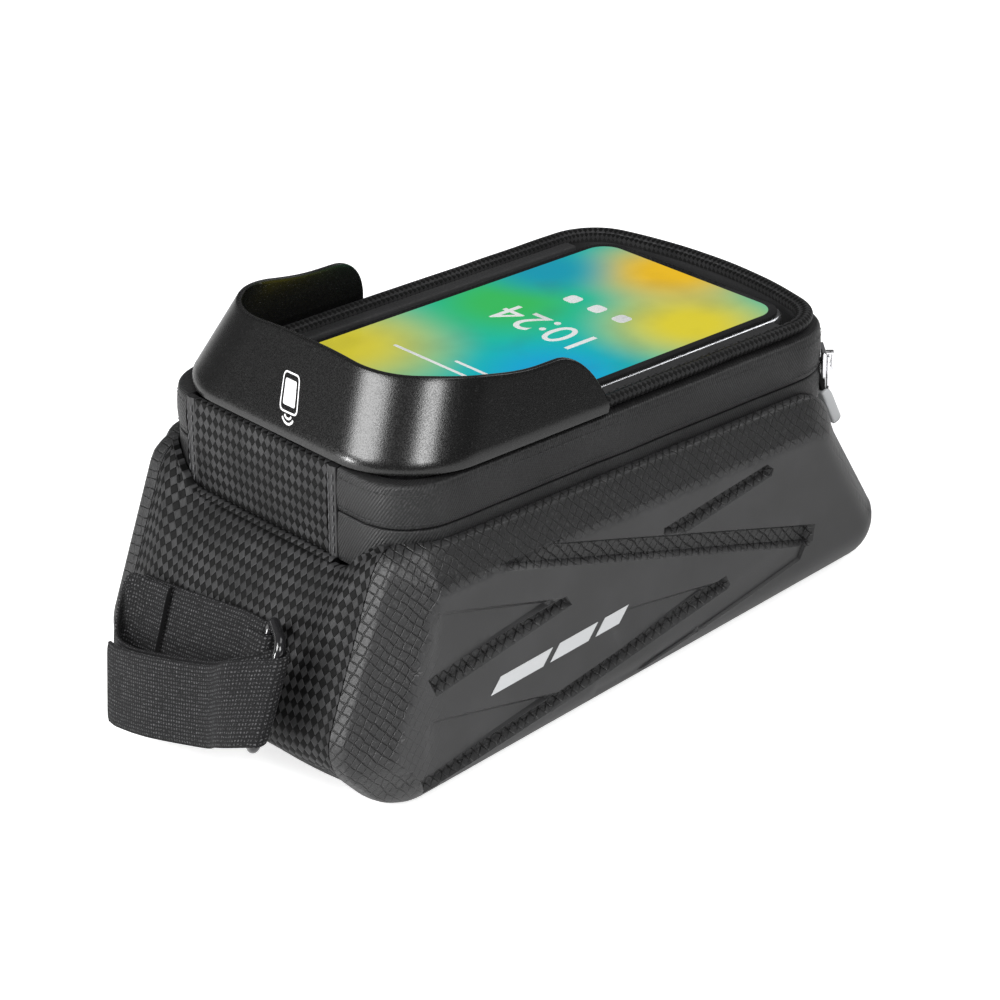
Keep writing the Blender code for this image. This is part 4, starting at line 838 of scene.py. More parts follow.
def filled(outline, step, creases=()):
    """Triangles over a flat outline, with rows of points kept as creases."""
    corners = np.array(outline)
    low = corners.min(0)
    high = corners.max(0)
    grid = []
    for i, x in enumerate(np.arange(low[0], high[0], step)):
        for y in np.arange(low[1] + (i % 2) * step / 2, high[1], step):
            grid.append((x, y))
    grid = np.array(grid)
    inside, away = inside_outline(grid, outline)
    keep = inside & (away > step * 0.6)
    rows = []
    for crease in creases:
        points = np.array(crease)
        within, edge = inside_outline(points, outline)
        rows.append((points, within & (edge > step * 0.6)))
        for point in points:
            keep &= np.hypot(grid[:, 0] - point[0], grid[:, 1] - point[1]) > step * 0.45
    vertices = [Vector(p) for p in corners]
    edges = [(k, (k + 1) % len(corners)) for k in range(len(corners))]
    for points, usable in rows:
        before = None
        for point, use in zip(points, usable):
            if use:
                vertices.append(Vector(point))
                if before is not None:
                    edges.append((before, len(vertices) - 1))
                before = len(vertices) - 1
            else:
                before = None
    vertices += [Vector(p) for p in grid[keep]]
    made = delaunay_2d_cdt(vertices, edges, [], 1, 0.0001)
    points = np.array([tuple(p) for p in made[0]])
    faces = np.array([tuple(f) for f in made[2]])
    middles = points[faces].mean(1)
    inside = inside_outline(middles, outline)[0]
    return points, faces[inside]


def make_window():
    outline = [rim_around(t, -RIM_WIDTH - SEAT_GAP) for t in spaced(0.0, 2 * RIM_HALF_PERIMETER, 3.0)[:-1]]
    points, faces = filled(outline, 4.0)
    vertices = []
    for x, y in points:
        rise = 0.22 * noise.noise(Vector((x / 30.0, y / 18.0, 3.0)))
        vertices.append(in_lid((x, y, WINDOW_TOP - WINDOW_FILM + rise)))
    count = len(vertices)
    vertices += [v - Vector((0.0, 0.0, WINDOW_FILM)) for v in vertices]
    both = [tuple(f) for f in faces] + [tuple(v + count for v in reversed(f)) for f in faces]
    for k in range(len(outline)):
        after = (k + 1) % len(outline)
        both.append((k, after, count + after, count + k))
    dress_solid("window_film", (vertices, both), FILM, "lid", "clear_film", "phone_window")


def rounded_rectangle(length, width, radius, steps=12):
    outline = []
    for corner in range(4):
        start = corner * math.pi / 2
        sign_x = 1 if corner in (0, 3) else -1
        sign_y = 1 if corner in (0, 1) else -1
        for step in range(steps + 1):
            angle = start + step * math.pi / 2 / steps
            outline.append((sign_x * (length / 2 - radius) + radius * math.cos(angle),
                            sign_y * (width / 2 - radius) + radius * math.sin(angle)))
    return outline


def phone_solid(name, levels, inset, material, slot, node):
    sections = []
    for height, extra in levels:
        shrink = inset + extra
        outline = rounded_rectangle(PHONE_LENGTH - 2 * shrink, PHONE_WIDTH - 2 * shrink,
                                    PHONE_CORNER_RADIUS - shrink)
        sections.append([in_lid((x, y, height)) for x, y in outline])
    return dress_solid(name, loft(sections, wrap=False), material, "lid", slot, node)


DISPLAY_LIFT = 0.01
ICON_LIFT = 0.06
SHAPE_THICKNESS = 0.03


def screen_shape(name, outline, lift, material):
    """A thin shape that lies on the phone's screen."""
    low = PHONE_TOP + lift
    rows = [[in_lid((x, y, z)) for x, y in outline] for z in (low, low + SHAPE_THICKNESS)]
    return dress_solid(name, loft(rows, wrap=False), material, "lid", "phone_glass")


def moved(outline, x, y):
    return [(a + x, b + y) for a, b in outline]


def make_clock(text, x, y, size):
    """Digits that the rider reads from behind."""
    curve = bpy.data.curves.new("clock_digits", "FONT")
    curve.body = text
    curve.size = size * MM
    curve.extrude = SHAPE_THICKNESS * MM
    curve.align_x = "CENTER"
    curve.align_y = "CENTER"
    holder = bpy.data.objects.new("clock_source", curve)
    bpy.context.scene.collection.objects.link(holder)
    bpy.context.view_layer.update()
    mesh = bpy.data.meshes.new_from_object(holder.evaluated_get(bpy.context.evaluated_depsgraph_get()))
    bpy.data.objects.remove(holder)
    bpy.data.curves.remove(curve)
    for vertex in mesh.vertices:
        right, up, rise = vertex.co / MM
        vertex.co = in_lid((x + up, y - right, PHONE_TOP + ICON_LIFT + rise)) * MM
    mesh.name = "clock_digits"
    mesh.materials.clear()
    dress("clock_digits", mesh, ICON_WHITE, "lid", "phone_glass")


BUTTON_DROP = 3.9
BUTTON_HALF_HEIGHT = 0.8


def make_phone():
    bottom = PHONE_TOP - PHONE_THICKNESS
    back = PHONE_TOP - SCREEN_THICKNESS - SEAT_GAP
    round_edge = 2.2
    levels = []
    for k in range(7):
        angle = math.pi / 2 * k / 6
        levels.append((bottom + round_edge * (1 - math.cos(angle)), round_edge * (1 - math.sin(angle))))
    for k in range(7):
        angle = math.pi / 2 * k / 6
        levels.append((back - round_edge * (1 - math.sin(angle)), round_edge * 0.45 * (1 - math.cos(angle))))
    phone_solid("phone_case", levels, 0.0, PHONE_EDGE, "phone_metal", "phone_body")
    low = PHONE_TOP - SCREEN_THICKNESS
    levels = [(low, 0.0), (PHONE_TOP - 0.35, 0.0), (PHONE_TOP - 0.12, 0.1), (PHONE_TOP, 0.4)]
    phone_solid("phone_glass_edge", levels, SCREEN_INSET, BLACK_GLASS, "phone_glass", "phone_screen")
    lit = rounded_rectangle(PHONE_LENGTH - 8.0, PHONE_WIDTH - 7.0, PHONE_CORNER_RADIUS - 3.2)
    screen_shape("phone_display", lit, DISPLAY_LIFT, SCREEN)
    for k in range(3):
        tile = moved(rounded_rectangle(5.0, 5.0, 1.5, 5), -34.0, 10.0 - 10.0 * k)
        screen_shape(f"screen_tile_{k}", tile, ICON_LIFT, ICON_WHITE)
    for k, share in enumerate((1.0, 0.5)):
        bar = moved(rounded_rectangle(1.1, 40.0 * share, 0.5, 4), 26.0 - 5.0 * k, 20.0 * (1 - share))
        screen_shape(f"screen_bar_{k}", bar, ICON_LIFT, ICON_WHITE)
    make_clock("10:24", -14.0, 0.0, 17.0)
    for k, (x, length) in enumerate(((24.0, 9.0), (38.0, 14.0))):
        rows = []
        for proud, shrink in ((-0.2, 1.0), (0.15, 0.85)):
            y = PHONE_WIDTH / 2 + proud
            rise = BUTTON_HALF_HEIGHT * shrink
            row = []
            for ahead, up in ((1, 1), (-1, 1), (-1, -1), (1, -1)):
                row.append(in_lid((x + ahead * length / 2, y, PHONE_TOP - BUTTON_DROP + up * rise)))
            rows.append(row)
        dress_solid(f"phone_button_{k}", loft(rows, wrap=False), PHONE_EDGE, "lid", "phone_metal")


VISOR_CORNER_S, VISOR_SIDE_S = outline_marks(RIM_FRONT_RADIUS)[:2]
VISOR_WING_LENGTH = LID_FRONT_X - RIM_FRONT_RADIUS - VISOR_WING_END_X
SKIRT_EDGE = -3.9
SKIRT_CLOTH = 0.5


def make_pocket():
    """Padding, sheet and elastic of the pocket, and the cloth that joins the sheet to the rim."""
    for place in ("left", "right"):
        pad = soft_copy(place + "_padding", place + "_pocket_pad", LINING, "lid", "board_plastic", 0.8, 3)
    soft_copy("pocket_sheet", "phone_pocket", LINING, "lid", "tape_fabric", 0.3, 2)
    soft_copy("pocket_elastic", "pocket_strap", STRAP_CLOTH, "lid", "strap_fabric", 0.4, 2)
    foot = PHONE_TOP - PHONE_THICKNESS - SEAT_GAP
    inner = SKIRT_EDGE - SKIRT_CLOTH
    section = ((SKIRT_EDGE, foot), (SKIRT_EDGE, 0.0), (inner, 0.0), (inner, foot))
    rear = outline_marks(RIM_FRONT_RADIUS)[2]
    stretches = {"front": (-VISOR_SIDE_S, VISOR_SIDE_S), "rear": (rear, 2 * RIM_HALF_PERIMETER - rear)}
    for place, (start, end) in stretches.items():
        solid = strip(section, start, end, path=rim_around)
        dress_solid(place + "_pocket_skirt", solid, LINING, "lid", "tape_fabric")


def visor_height(s):
    run = abs(s)
    x, y = rim_around(run)
    corner = (VISOR_CORNER_S + VISOR_SIDE_S) / 2
    if run <= corner:
        share = smooth_step(run, VISOR_CORNER_S * 0.3, corner)
        return VISOR_FRONT_HEIGHT + (VISOR_CORNER_HEIGHT - VISOR_FRONT_HEIGHT) * share
    share = smooth_step(run, corner, VISOR_SIDE_S + VISOR_WING_LENGTH / 2)
    height = VISOR_CORNER_HEIGHT + (VISOR_WING_HEIGHT - VISOR_CORNER_HEIGHT) * share
    over = (VISOR_WING_END_X + VISOR_WING_ROUND - x) / VISOR_WING_ROUND
    if over > 0:
        height *= max(0.06, math.sqrt(max(0.0, 1 - over * over)))
    return height


def visor_point(s, share, offset):
    x, y = rim_around(s, offset)
    height = share * visor_height(s)
    run = abs(s)
    side = -1.0 if s < 0 else 1.0
    across = min(1.0, run / VISOR_CORNER_S)
    along = 1.0
    if run > VISOR_SIDE_S:
        along = max(0.0, (x - VISOR_WING_END_X) / VISOR_WING_LENGTH)
    leaning = max(0.0, height - VISOR_FOOT)
    lean_x = leaning * math.tan(VISOR_FRONT_LEAN) * along
    lean_y = leaning * math.tan(VISOR_SIDE_LEAN) * across * side
    return in_lid((x - lean_x, y - lean_y, SEAT_GAP + height))


def make_visor():
    half = spaced(0.0, VISOR_SIDE_S, 2.0)
    wing = [VISOR_SIDE_S + VISOR_WING_LENGTH * math.sin(k / 24 * math.pi / 2) for k in range(1, 25)]
    stations = half + wing
    stations = [-s for s in reversed(stations[1:])] + stations
    levels = [k / 16 for k in range(17)]
    outer = [[visor_point(s, share, SEAT_GAP + VISOR_THICKNESS) for share in levels] for s in stations]
    inner = [[visor_point(s, share, SEAT_GAP) for share in levels] for s in stations]
    vertices, faces, uvs = sheet(outer, inner)
    mesh = build_mesh("visor_shell", vertices, faces, uvs, sharp=60.0)
    work = bmesh.new()
    work.from_mesh(mesh)
    edges = [e for e in work.edges if e.calc_face_angle(0.0) > math.radians(50.0)]
    bmesh.ops.bevel(work, geom=edges, offset=0.35 * MM, segments=3, profile=0.5, affect="EDGES")
    work.to_mesh(mesh)
    work.free()
    mesh.shade_smooth()
    mesh.set_sharp_from_angle(angle=math.radians(45.0))
    dress("visor_shell", mesh, VISOR_PLASTIC, "lid", "visor_plastic", "sun_visor")


def on_visor(y, share, rise=0.0):
    """A place on the visor's front, with its outward direction."""
    point = visor_point(y, share, SEAT_GAP + VISOR_THICKNESS)
    side = visor_point(y + 0.2, share, SEAT_GAP + VISOR_THICKNESS) - point
    up = visor_point(y, share + 0.01, SEAT_GAP + VISOR_THICKNESS) - point
    out = side.cross(up).normalized()
    return point + out * rise


PRINT_THICKNESS = 0.05


def visor_print(name, outer, inner=None):
    """A white printed shape, or a line between two outlines, on the visor's front."""
    def laid(outline, rise):
        return [on_visor(y, height / VISOR_FRONT_HEIGHT, rise) for y, height in outline]

    if inner is None:
        solid = loft([laid(outer, 0.0), laid(outer, PRINT_THICKNESS)], wrap=False)
    else:
        rows = []
        for a, b in zip(outer, inner):
            rows.append(laid([a], 0.0) + laid([a, b], PRINT_THICKNESS) + laid([b], 0.0))
        solid = loft(rows, wrap=True)
    dress_solid(name, solid, PRINT_WHITE, "lid", "visor_plastic")


def make_visor_print():
    """A plain outline of a phone, with two arcs under it."""
    middle_y = 2.2
    middle_h = 10.8
    arc_h = middle_h - 4.0
    slant = -0.45
    half_line = 0.25

    def slanted(outline):
        return [(y + slant * (h - middle_h), h) for y, h in outline]

    def upright(*sizes):
        return slanted(moved([(b, a) for a, b in rounded_rectangle(*sizes)], middle_y, middle_h))

    def arc(radius):
        angles = [math.radians(-145 + 11 * step) for step in range(11)]
        return [(middle_y + radius * math.cos(a), arc_h + radius * math.sin(a)) for a in angles]

    visor_print("print_phone_line", upright(9.0, 7.8, 1.5, 5), upright(8.2, 7.0, 1.2, 5))
    visor_print("print_phone_screen", upright(5.8, 5.2, 0.5, 3))
    for k, radius in enumerate((1.7, 2.8)):
        visor_print(f"print_arc_{k}", slanted(arc(radius + half_line) + arc(radius - half_line)[::-1]))


# Zip band

LIP_GAP = 0.4
TAPE_WAVES = 0.35


def make_tapes():
    upper_low = -ZIP_DROP + LIP_GAP / 2
    top = -BAND_TOP_DROP
    under = top - TAPE_FLANGE_THICKNESS
    section = [
        (-BAND_WALL, upper_low), (-BAND_WALL, under - TAPE_FLANGE_THICKNESS),
        (-BAND_WALL - TAPE_FLANGE_THICKNESS, under), (-TAPE_FLANGE, under), (-TAPE_FLANGE, top),
        (-(TAPE_FLANGE + BAND_TOP_ROUND) / 2, top),
    ]
    for k in range(7):
        angle = math.pi / 2 * (1 - k / 6)
        inset = BAND_TOP_ROUND * (1 - math.cos(angle))
        section.append((-inset, top - BAND_TOP_ROUND * (1 - math.sin(angle))))
    for k in range(1, 9):
        share = k / 9
        height = top - BAND_TOP_ROUND + (upper_low + 0.5 - top + BAND_TOP_ROUND) * share
        section.append((0.35 * math.sin(math.pi * share), height))
    section += [(0.0, upper_low + 0.5), (-0.15, upper_low + 0.15), (-0.5, upper_low)]
    solid = strip(section, TAPE_START, TAPE_END, waves=TAPE_WAVES)
    dress_solid("upper_tape", solid, TWILL, "lid", "tape_fabric", "upper_zip_tape")
    lower_high = -ZIP_DROP - LIP_GAP / 2
    section = rounded_bar(-BAND_DROP, lower_high, -BAND_WALL, 0.0, 0.5, 0.3, 12)
    solid = strip(section, TAPE_START, TAPE_END, waves=TAPE_WAVES)
    dress_solid("lower_tape", solid, TWILL, "bag", "tape_fabric", "lower_zip_tape")
    path = lid_path(TAPE_START, TAPE_END, 0.2, upper_low + 1.5)
    stitch_row("upper_zip_stitches", path, THREAD, "lid", "tape_fabric", ZIP_STITCH)
    path = lid_path(TAPE_START, TAPE_END, 0.2, -BAND_TOP_DROP - 2.6)
    stitch_row("rim_seam_stitches", path, THREAD, "lid", "tape_fabric", RIM_SEAM_STITCH)


def make_teeth(name, body, middle, sign, node):
    """Zip coil: a row of small rounded turns behind the slot."""
    vertices = []
    faces = []
    pitch = 1.4
    middle_offset = -BAND_WALL - SEAT_GAP - COIL_WIDTH / 2
    turn = ((-0.45, -0.55), (0.45, -0.55), (0.62, 0.0), (0.45, 0.55), (-0.45, 0.55), (-0.62, 0.0))
    shift = pitch / 2 if sign > 0 else 0.0
    for t in spaced(TAPE_START, TAPE_END, pitch)[:-1]:
        base = len(vertices)
        for part in (0.0, 0.5, 1.0):
            for across, high in turn:
                x, y = around(t + shift + 0.16 + part * 0.62, middle_offset + across * 0.9)
                vertices.append(in_lid((x, y, middle + high * (1.1 if part == 0.5 else 0.8))))
        count = len(turn)
        for ring in range(2):
            for i in range(count):
                a = base + ring * count + i
                b = base + ring * count + (i + 1) % count
                faces.append((a, b, b + count, a + count))
        faces.append(tuple(base + i for i in range(count)))
        faces.append(tuple(base + 2 * count + i for i in range(count)))
    dress_solid(name, (vertices, faces), COIL_PLASTIC, body, "coil_plastic", node)


def make_front_band():
    section = rounded_bar(-BAND_DROP, -BAND_TOP_DROP, -BAND_WALL, 0.0, 0.45, 0.5, 14)
    solid = strip(section, -FRONT_BAND_RIGHT, FRONT_BAND_LEFT, 1.5, waves=0.3)
    dress_solid("front_band_cloth", solid, CHECKER, "bag", "checker_fabric", "front_band")
    radius = 1.25
    wide = 1.25 * radius
    fold = []
    for k in range(12):
        angle = k * math.pi / 6
        fold.append((0.9 + wide * math.cos(angle), -BAND_DROP - 0.45 + radius * math.sin(angle)))
    start = -FRONT_BAND_RIGHT - SEAM_STRIP_WIDTH
    solid = strip(fold, start, FRONT_BAND_LEFT + SEAM_STRIP_WIDTH, 1.5, waves=0.4)
    dress_solid("band_foot_fold", solid, CHECKER, "bag", "checker_fabric")


def make_seam_strips():
    for place, side, band_end in (("left", 1, FRONT_BAND_LEFT), ("right", -1, FRONT_BAND_RIGHT)):
        sections = []
        start = band_end + SEAT_GAP
        end = band_end + SEAM_STRIP_WIDTH
        for height in spaced(-BAND_DROP, -BAND_TOP_DROP, 1.2):
            ring = []
            for k in range(11):
                share = k / 10
                s = side * (start + (end - start) * share)
                fold = 0.55 * math.sin(math.pi * share) ** 0.5 + 0.12 * math.cos(4 * math.pi * share)
                x, y = around(s, fold + 0.06 * noise.noise(Vector((0.0, s, height))))
                ring.append(in_lid((x, y, height)))
            for s in (end, start):
                x, y = around(side * s, -BAND_WALL)
                ring.append(in_lid((x, y, height)))
            sections.append(ring)
        name = place + "_seam_binding"
        solid = loft(sections, wrap=False)
        dress_solid(name, solid, EDGE_CLOTH, "bag", "rim_fabric", place + "_seam_strip")
        for edge in (0.26, 0.74):
            s = side * (start + (end - start) * edge)
            heights = spaced(-BAND_DROP + 0.8, -BAND_TOP_DROP - 0.8, 1.0)
            path = [cloth_point(s, 0.6, height) for height in heights]
            name = f"{place}_seam_stitches_{round(edge * 100)}"
            stitch_row(name, path, PALE_THREAD, "bag", "rim_fabric", BINDING_STITCH)


# Side pods

def pod_corners():
    return [
        lid_to_bag(POD_TOP_FRONT_X, -POD_TOP_DROP),
        (POD_NOSE_X, POD_NOSE_HEIGHT),
        (POD_FOOT_FRONT_X, 0.0),
        (POD_FOOT_REAR_X, 0.0),
        lid_to_bag(POD_TOP_REAR_X, -POD_TOP_DROP),
    ]


def inset_corners(corners, inset):
    moved_in = []
    count = len(corners)
    for k in range(count):
        before = Vector(corners[k - 1])
        here = Vector(corners[k])
        after = Vector(corners[(k + 1) % count])
        one = (here - before).normalized()
        two = (after - here).normalized()
        inward_one = Vector((one.y, -one.x))
        inward_two = Vector((two.y, -two.x))
        bisector = (inward_one + inward_two).normalized()
        moved_in.append(here + bisector * (inset / bisector.dot(inward_one)))
    return moved_in


def pod_outline(inset):
    """Points of the pod's outline, and its outward directions, from the top front corner."""
    corners = inset_corners(pod_corners(), inset)
    count = len(corners)
    arcs = []
    for k in range(count):
        before = corners[k - 1]
        here = corners[k]
        after = corners[(k + 1) % count]
        one = (here - before).normalized()
        two = (after - here).normalized()
        turn = one.angle(two)
        radius = max(POD_CORNER_RADII[k] - inset, 1.5)
        reach = radius * math.tan(turn / 2)
        centre = here - one * reach + Vector((one.y, -one.x)) * radius
        out_start = Vector((-one.y, one.x))
        arc = []
        for step in range(POD_CORNER_STEPS + 1):
            angle = -turn * step / POD_CORNER_STEPS
            out = Vector((
                out_start.x * math.cos(angle) - out_start.y * math.sin(angle),
                out_start.x * math.sin(angle) + out_start.y * math.cos(angle),
            ))
            arc.append((centre + out * radius, out))
        arcs.append(arc)
    points = []
    for k in range(count):
        points += arcs[k]
        start, out = arcs[k][-1]
        end = arcs[(k + 1) % count][0][0]
        steps = POD_EDGE_STEPS[k]
        for step in range(1, steps):
            share = (1 - math.cos(math.pi * step / steps)) / 2
            points.append((start.lerp(end, share), out))
    return points


POD_SLOPE_POINTS = (
    (0.0, 0.0), (0.03, 0.22), (0.14, 0.42), (0.74, 0.83), (0.83, 0.89), (0.9, 0.98), (1.0, 1.0))
POD_SLOPE = smooth_curve(POD_SLOPE_POINTS, 4)


def pod_profile(level, slope_share):
    share, slope_rise = POD_SLOPE[level]
    angle = math.pi / 2 * level / (len(POD_SLOPE) - 1)
    round_inset = POD_ROUND_WIDTH * (1 - math.cos(angle))
    inset = round_inset + (POD_SLOPE_WIDTH * share - round_inset) * slope_share
    rise = math.sin(angle) + (slope_rise - math.sin(angle)) * slope_share
    return max(0.0, inset), rise


def pod_least_y(x, z):
    lid_x, lid_z = bag_to_lid(x, z)
    band_y = lid_half_width_at(lid_x) + POD_TO_BAND_GAP
    beside = smooth_step(lid_z, -BAND_DROP - 8.0, -BAND_DROP - 1.0)
    return POD_SEAM_Y + max(0.0, band_y - POD_SEAM_Y) * beside


outline_store = {}


def stored_outline(inset):
    key = round(inset, 3)
    if key not in outline_store:
        outline_store[key] = pod_outline(key)
    return outline_store[key]


def pod_ring(level, wall):
    """Points of one level round the pod, and how far the net shows on each."""
    ring = []
    net = []
    for i, (point, out) in enumerate(stored_outline(0.0)):
        slope_share = min(1.0, max(0.0, 2.0 * max(out.x, out.y) - 0.6))
        inset, rise = pod_profile(level, slope_share)
        place = stored_outline(inset + wall)[i][0]
        seam_y = pod_least_y(point.x, point.y)
        y = seam_y + (POD_FACE_Y - wall - seam_y) * rise
        ring.append(Vector((place.x, max(y, pod_least_y(place.x, place.y)), place.y)))
        share = level / (len(POD_SLOPE) - 1)
        net.append(slope_share * (1.0 - smooth_step(share, 0.62, 0.80)) * (0.0 if wall else 1.0))
    return ring, net


# Relief of the pod's face, in the lid frame: corners as x, z and depth share
POD_RELIEF = (
    # wedge planes, deepest at their rear corner
    ((35.5, -44.0, 0.8), (85.0, -51.5, 0.0), (81.0, -32.0, 0.4)),
    ((35.0, -72.6, 0.8), (87.0, -80.5, 0.0), (84.5, -63.0, 0.4)),
    ((-27.0, -60.5, 0.8), (14.0, -68.5, 0.0), (20.0, -54.5, 0.4)),
)
POD_CHANNELS = (
    ((70.0, -17.5), (-64.5, -55.6), (-63.6, -62.4), (66.0, -26.0)),
    ((2.0, -36.4), (-43.0, -29.6), (-47.5, -33.4), (-9.0, -40.4)),
    ((35.0, -43.6), (33.0, -47.0), (82.0, -56.6), (85.0, -50.4)),
    ((35.0, -72.2), (33.5, -75.8), (85.0, -85.6), (88.0, -79.6)),
    ((-27.5, -59.4), (-30.0, -63.8), (40.0, -77.4), (42.0, -72.8)),
)
WALL_RUN = 1.4
POD_CREASE = ((22.0, -82.3), (-17.4, -73.8), (-58.6, -65.2), (-60.9, -61.2), (-63.7, -57.3))
CREASE_DEPTH = 0.9
CREASE_RUN = 9.0
CREASE_EDGE = 0.4
OUTLINE_STEP = 1.3
# The net also shows faintly towards the nose: from x, to x, and its share
NOSE_NET = (74.0, 96.0, 0.3)


def clockwise(corners):
    area = 0.0
    for a, b in zip(corners, corners[1:] + corners[:1]):
        area += a[0] * b[1] - b[0] * a[1]
    return corners if area < 0 else corners[::-1]


def corner_rows(corners, inset):
    """A closed row of points along a polygon, moved inwards."""
    inner = inset_corners([(c[0], c[1]) for c in clockwise(list(corners))], inset)
    row = []
    for a, b in zip(inner, inner[1:] + inner[:1]):
        step = OUTLINE_STEP / max(OUTLINE_STEP, (b - a).length)
        row += [tuple(a.lerp(b, share)) for share in spaced(0.0, 1.0, step)[:-1]]
    return row + [row[0]]


def relief_depth(points):
    """Depth below the face, in mm, and the net's share, at lid places x and z."""
    depth = np.zeros(len(points))
    net = np.zeros(len(points))
    for corners in POD_RELIEF:
        (ax, az, ad), (bx, bz, bd), (cx, cz, cd) = corners
        area = (bx - ax) * (cz - az) - (cx - ax) * (bz - az)
        share_b = ((points[:, 0] - ax) * (cz - az) - (cx - ax) * (points[:, 1] - az)) / area
        share_c = ((bx - ax) * (points[:, 1] - az) - (points[:, 0] - ax) * (bz - az)) / area
        plane = ad + (bd - ad) * share_b + (cd - ad) * share_c
        inside, away = inside_outline(points, [(c[0], c[1]) for c in corners])
        ramp = np.clip(away / WALL_RUN, 0.0, 1.0)
        here = np.where(inside, np.maximum(plane, 0.0) * ramp, 0.0)
        depth = np.maximum(depth, here)
    for corners in POD_CHANNELS:
        inside, away = inside_outline(points, list(corners))
        ramp = np.clip(away / WALL_RUN, 0.0, 1.0)
        here = np.where(inside, ramp, 0.0)
        depth = np.maximum(depth, here)
        net = np.maximum(net, np.where(inside, np.clip((away - 0.4) / 0.6, 0.0, 1.0), 0.0))
    depth *= GROOVE_DEPTH
    for (ax, az), (bx, bz) in zip(POD_CREASE, POD_CREASE[1:]):
        run = np.array((bx - ax, bz - az))
        length = np.hypot(*run)
        run /= length
        along = (points[:, 0] - ax) * run[0] + (points[:, 1] - az) * run[1]
        above = (points[:, 1] - az) * -run[0] + (points[:, 0] - ax) * run[1]
        beside = (along > 0.0) & (along < length) & (above > 0.0)
        step = np.clip(1.0 - above / CREASE_RUN, 0.0, 1.0) * np.clip(above / CREASE_EDGE, 0.0, 1.0)
        depth = np.where(beside, np.maximum(depth, step * CREASE_DEPTH), depth)
    return depth, net


FACE_LEVEL = -9


def make_pod(place, side):
    """Rings up to the face, then the face itself with its relief."""
    last = len(POD_SLOPE) - 1
    rings = []
    net = []
    for level in range(last, -1, -4):
        ring, shares = pod_ring(level, POD_WALL)
        rings.append(ring)
        net += shares
    for level in range(last + 1):
        ring, shares = pod_ring(level, 0.0)
        rings.append(ring)
        net += shares
    whole, whole_faces, _ = loft(rings, wrap=False)
    tree = BVHTree.FromPolygons(whole, whole_faces[:-2] + whole_faces[-1:])
    kept = len(rings) + FACE_LEVEL
    vertices, faces, _ = loft(rings[:kept], wrap=False)
    faces = faces[:-1]
    whole_net = net
    net = net[:len(vertices)]
    boundary = [bag_to_lid(p.x, p.z) for p in rings[kept - 1]]
    creases = []
    for corners in POD_RELIEF + POD_CHANNELS:
        creases += [corner_rows(corners, 0.0), corner_rows(corners, WALL_RUN)]
    for a, b in zip(POD_CREASE, POD_CREASE[1:]):
        start, run = Vector(a), Vector(b) - Vector(a)
        across = Vector((run.y, -run.x)).normalized() * CREASE_EDGE
        steps = spaced(0.0, 1.0, OUTLINE_STEP / run.length)
        for shift in (Vector((0.0, 0.0)), across):
            creases.append([tuple(start + shift + run * share) for share in steps])
    points, made = filled(boundary, 1.6, creases)
    depth, shares = relief_depth(points)
    away = inside_outline(points, boundary)[1]
    depth *= np.clip(away / 2.0, 0.0, 1.0)
    start = len(vertices)
    for (x, z), deep, share in zip(points, depth, shares):
        bag_x, bag_z = lid_to_bag(x, z)
        above = Vector((bag_x, 2 * POD_FACE_Y, bag_z))
        hit, _, index, _ = tree.ray_cast(above, Vector((0.0, -1.0, 0.0)))
        if hit is None:
            hit, _, index, _ = tree.find_nearest(Vector((bag_x, POD_FACE_Y, bag_z)))
        vertices.append(Vector((bag_x, hit.y - deep, bag_z)))
        corners = whole_faces[index] if index < len(whole_faces) - 2 else ()
        slope = sum(whole_net[v] for v in corners) / len(corners) if corners else 0.0
        nose = smooth_step(x, NOSE_NET[0], NOSE_NET[1]) * NOSE_NET[2]
        net.append(max(float(share), slope, nose))
    faces += [tuple(int(v) + start for v in f) for f in made]
    world = [in_bag((v[0], side * v[1], v[2])) for v in vertices]
    name = place + "_pod_skin"
    mesh = build_mesh(name, world, faces, merge=0.004, net=net, sharp=32.0)
    dress(name, mesh, POD_SKIN, "bag", "pod_foam", place + "_pod")


# Bars of print on the pods, in the lid frame: the row's ends, and each bar's share of it
BAR_START = (63.0, -61.6)
BAR_END = (10.0, -56.6)
BAR_SHARES = ((0.0, 0.36), (0.41, 0.68), (0.73, 0.90))
BAR_HEIGHT = 4.2
BAR_LEAN = 4.0


def make_bars(place, side):
    """Three plain slanted bars of reflective print on the pod's face."""
    start = Vector(BAR_START)
    run = Vector(BAR_END) - start
    along = run.normalized()
    rise = Vector((-along.y, along.x)) * (-BAR_HEIGHT / 2)
    for k, (first, last) in enumerate(BAR_SHARES):
        low_start = start + run * first - rise
        low_end = start + run * last - rise
        lean = along * BAR_LEAN
        corners = (low_start, low_end, low_end + rise * 2 + lean, low_start + rise * 2 + lean)
        rows = []
        for proud in (0.02, 0.12):
            row = []
            for corner in corners:
                bag_x, bag_z = lid_to_bag(corner.x, corner.y)
                row.append(in_bag((bag_x, side * (POD_FACE_Y + proud), bag_z)))
            rows.append(row)
        dress_solid(f"{place}_badge_bar_{k}", loft(rows, wrap=False), REFLECTIVE, "bag", "pod_foam")


# Gusset

GUSSET_EDGE_Y = POD_SEAM_Y - SEAT_GAP


def gusset_edge():
    kept = []
    for point, out in stored_outline(0.0):
        lid_x, lid_z = bag_to_lid(point.x, point.y)
        if point.x < 0 and lid_z > -BAND_DROP - 2.0:
            break
        kept.append((point, out))
    return kept


def gusset_crown(out, share):
    full = 1 - share ** 3
    front = max(0.0, out.x) ** 1.5 * GUSSET_FRONT_CROWN
    rear = max(0.0, -out.x) ** 1.5 * GUSSET_REAR_CROWN
    below = max(0.0, -out.y) ** 2 * BASE_RECESS
    return (front + rear) * full - below * (1 - share ** 12)


REAR_BLEND_POINTS = 9


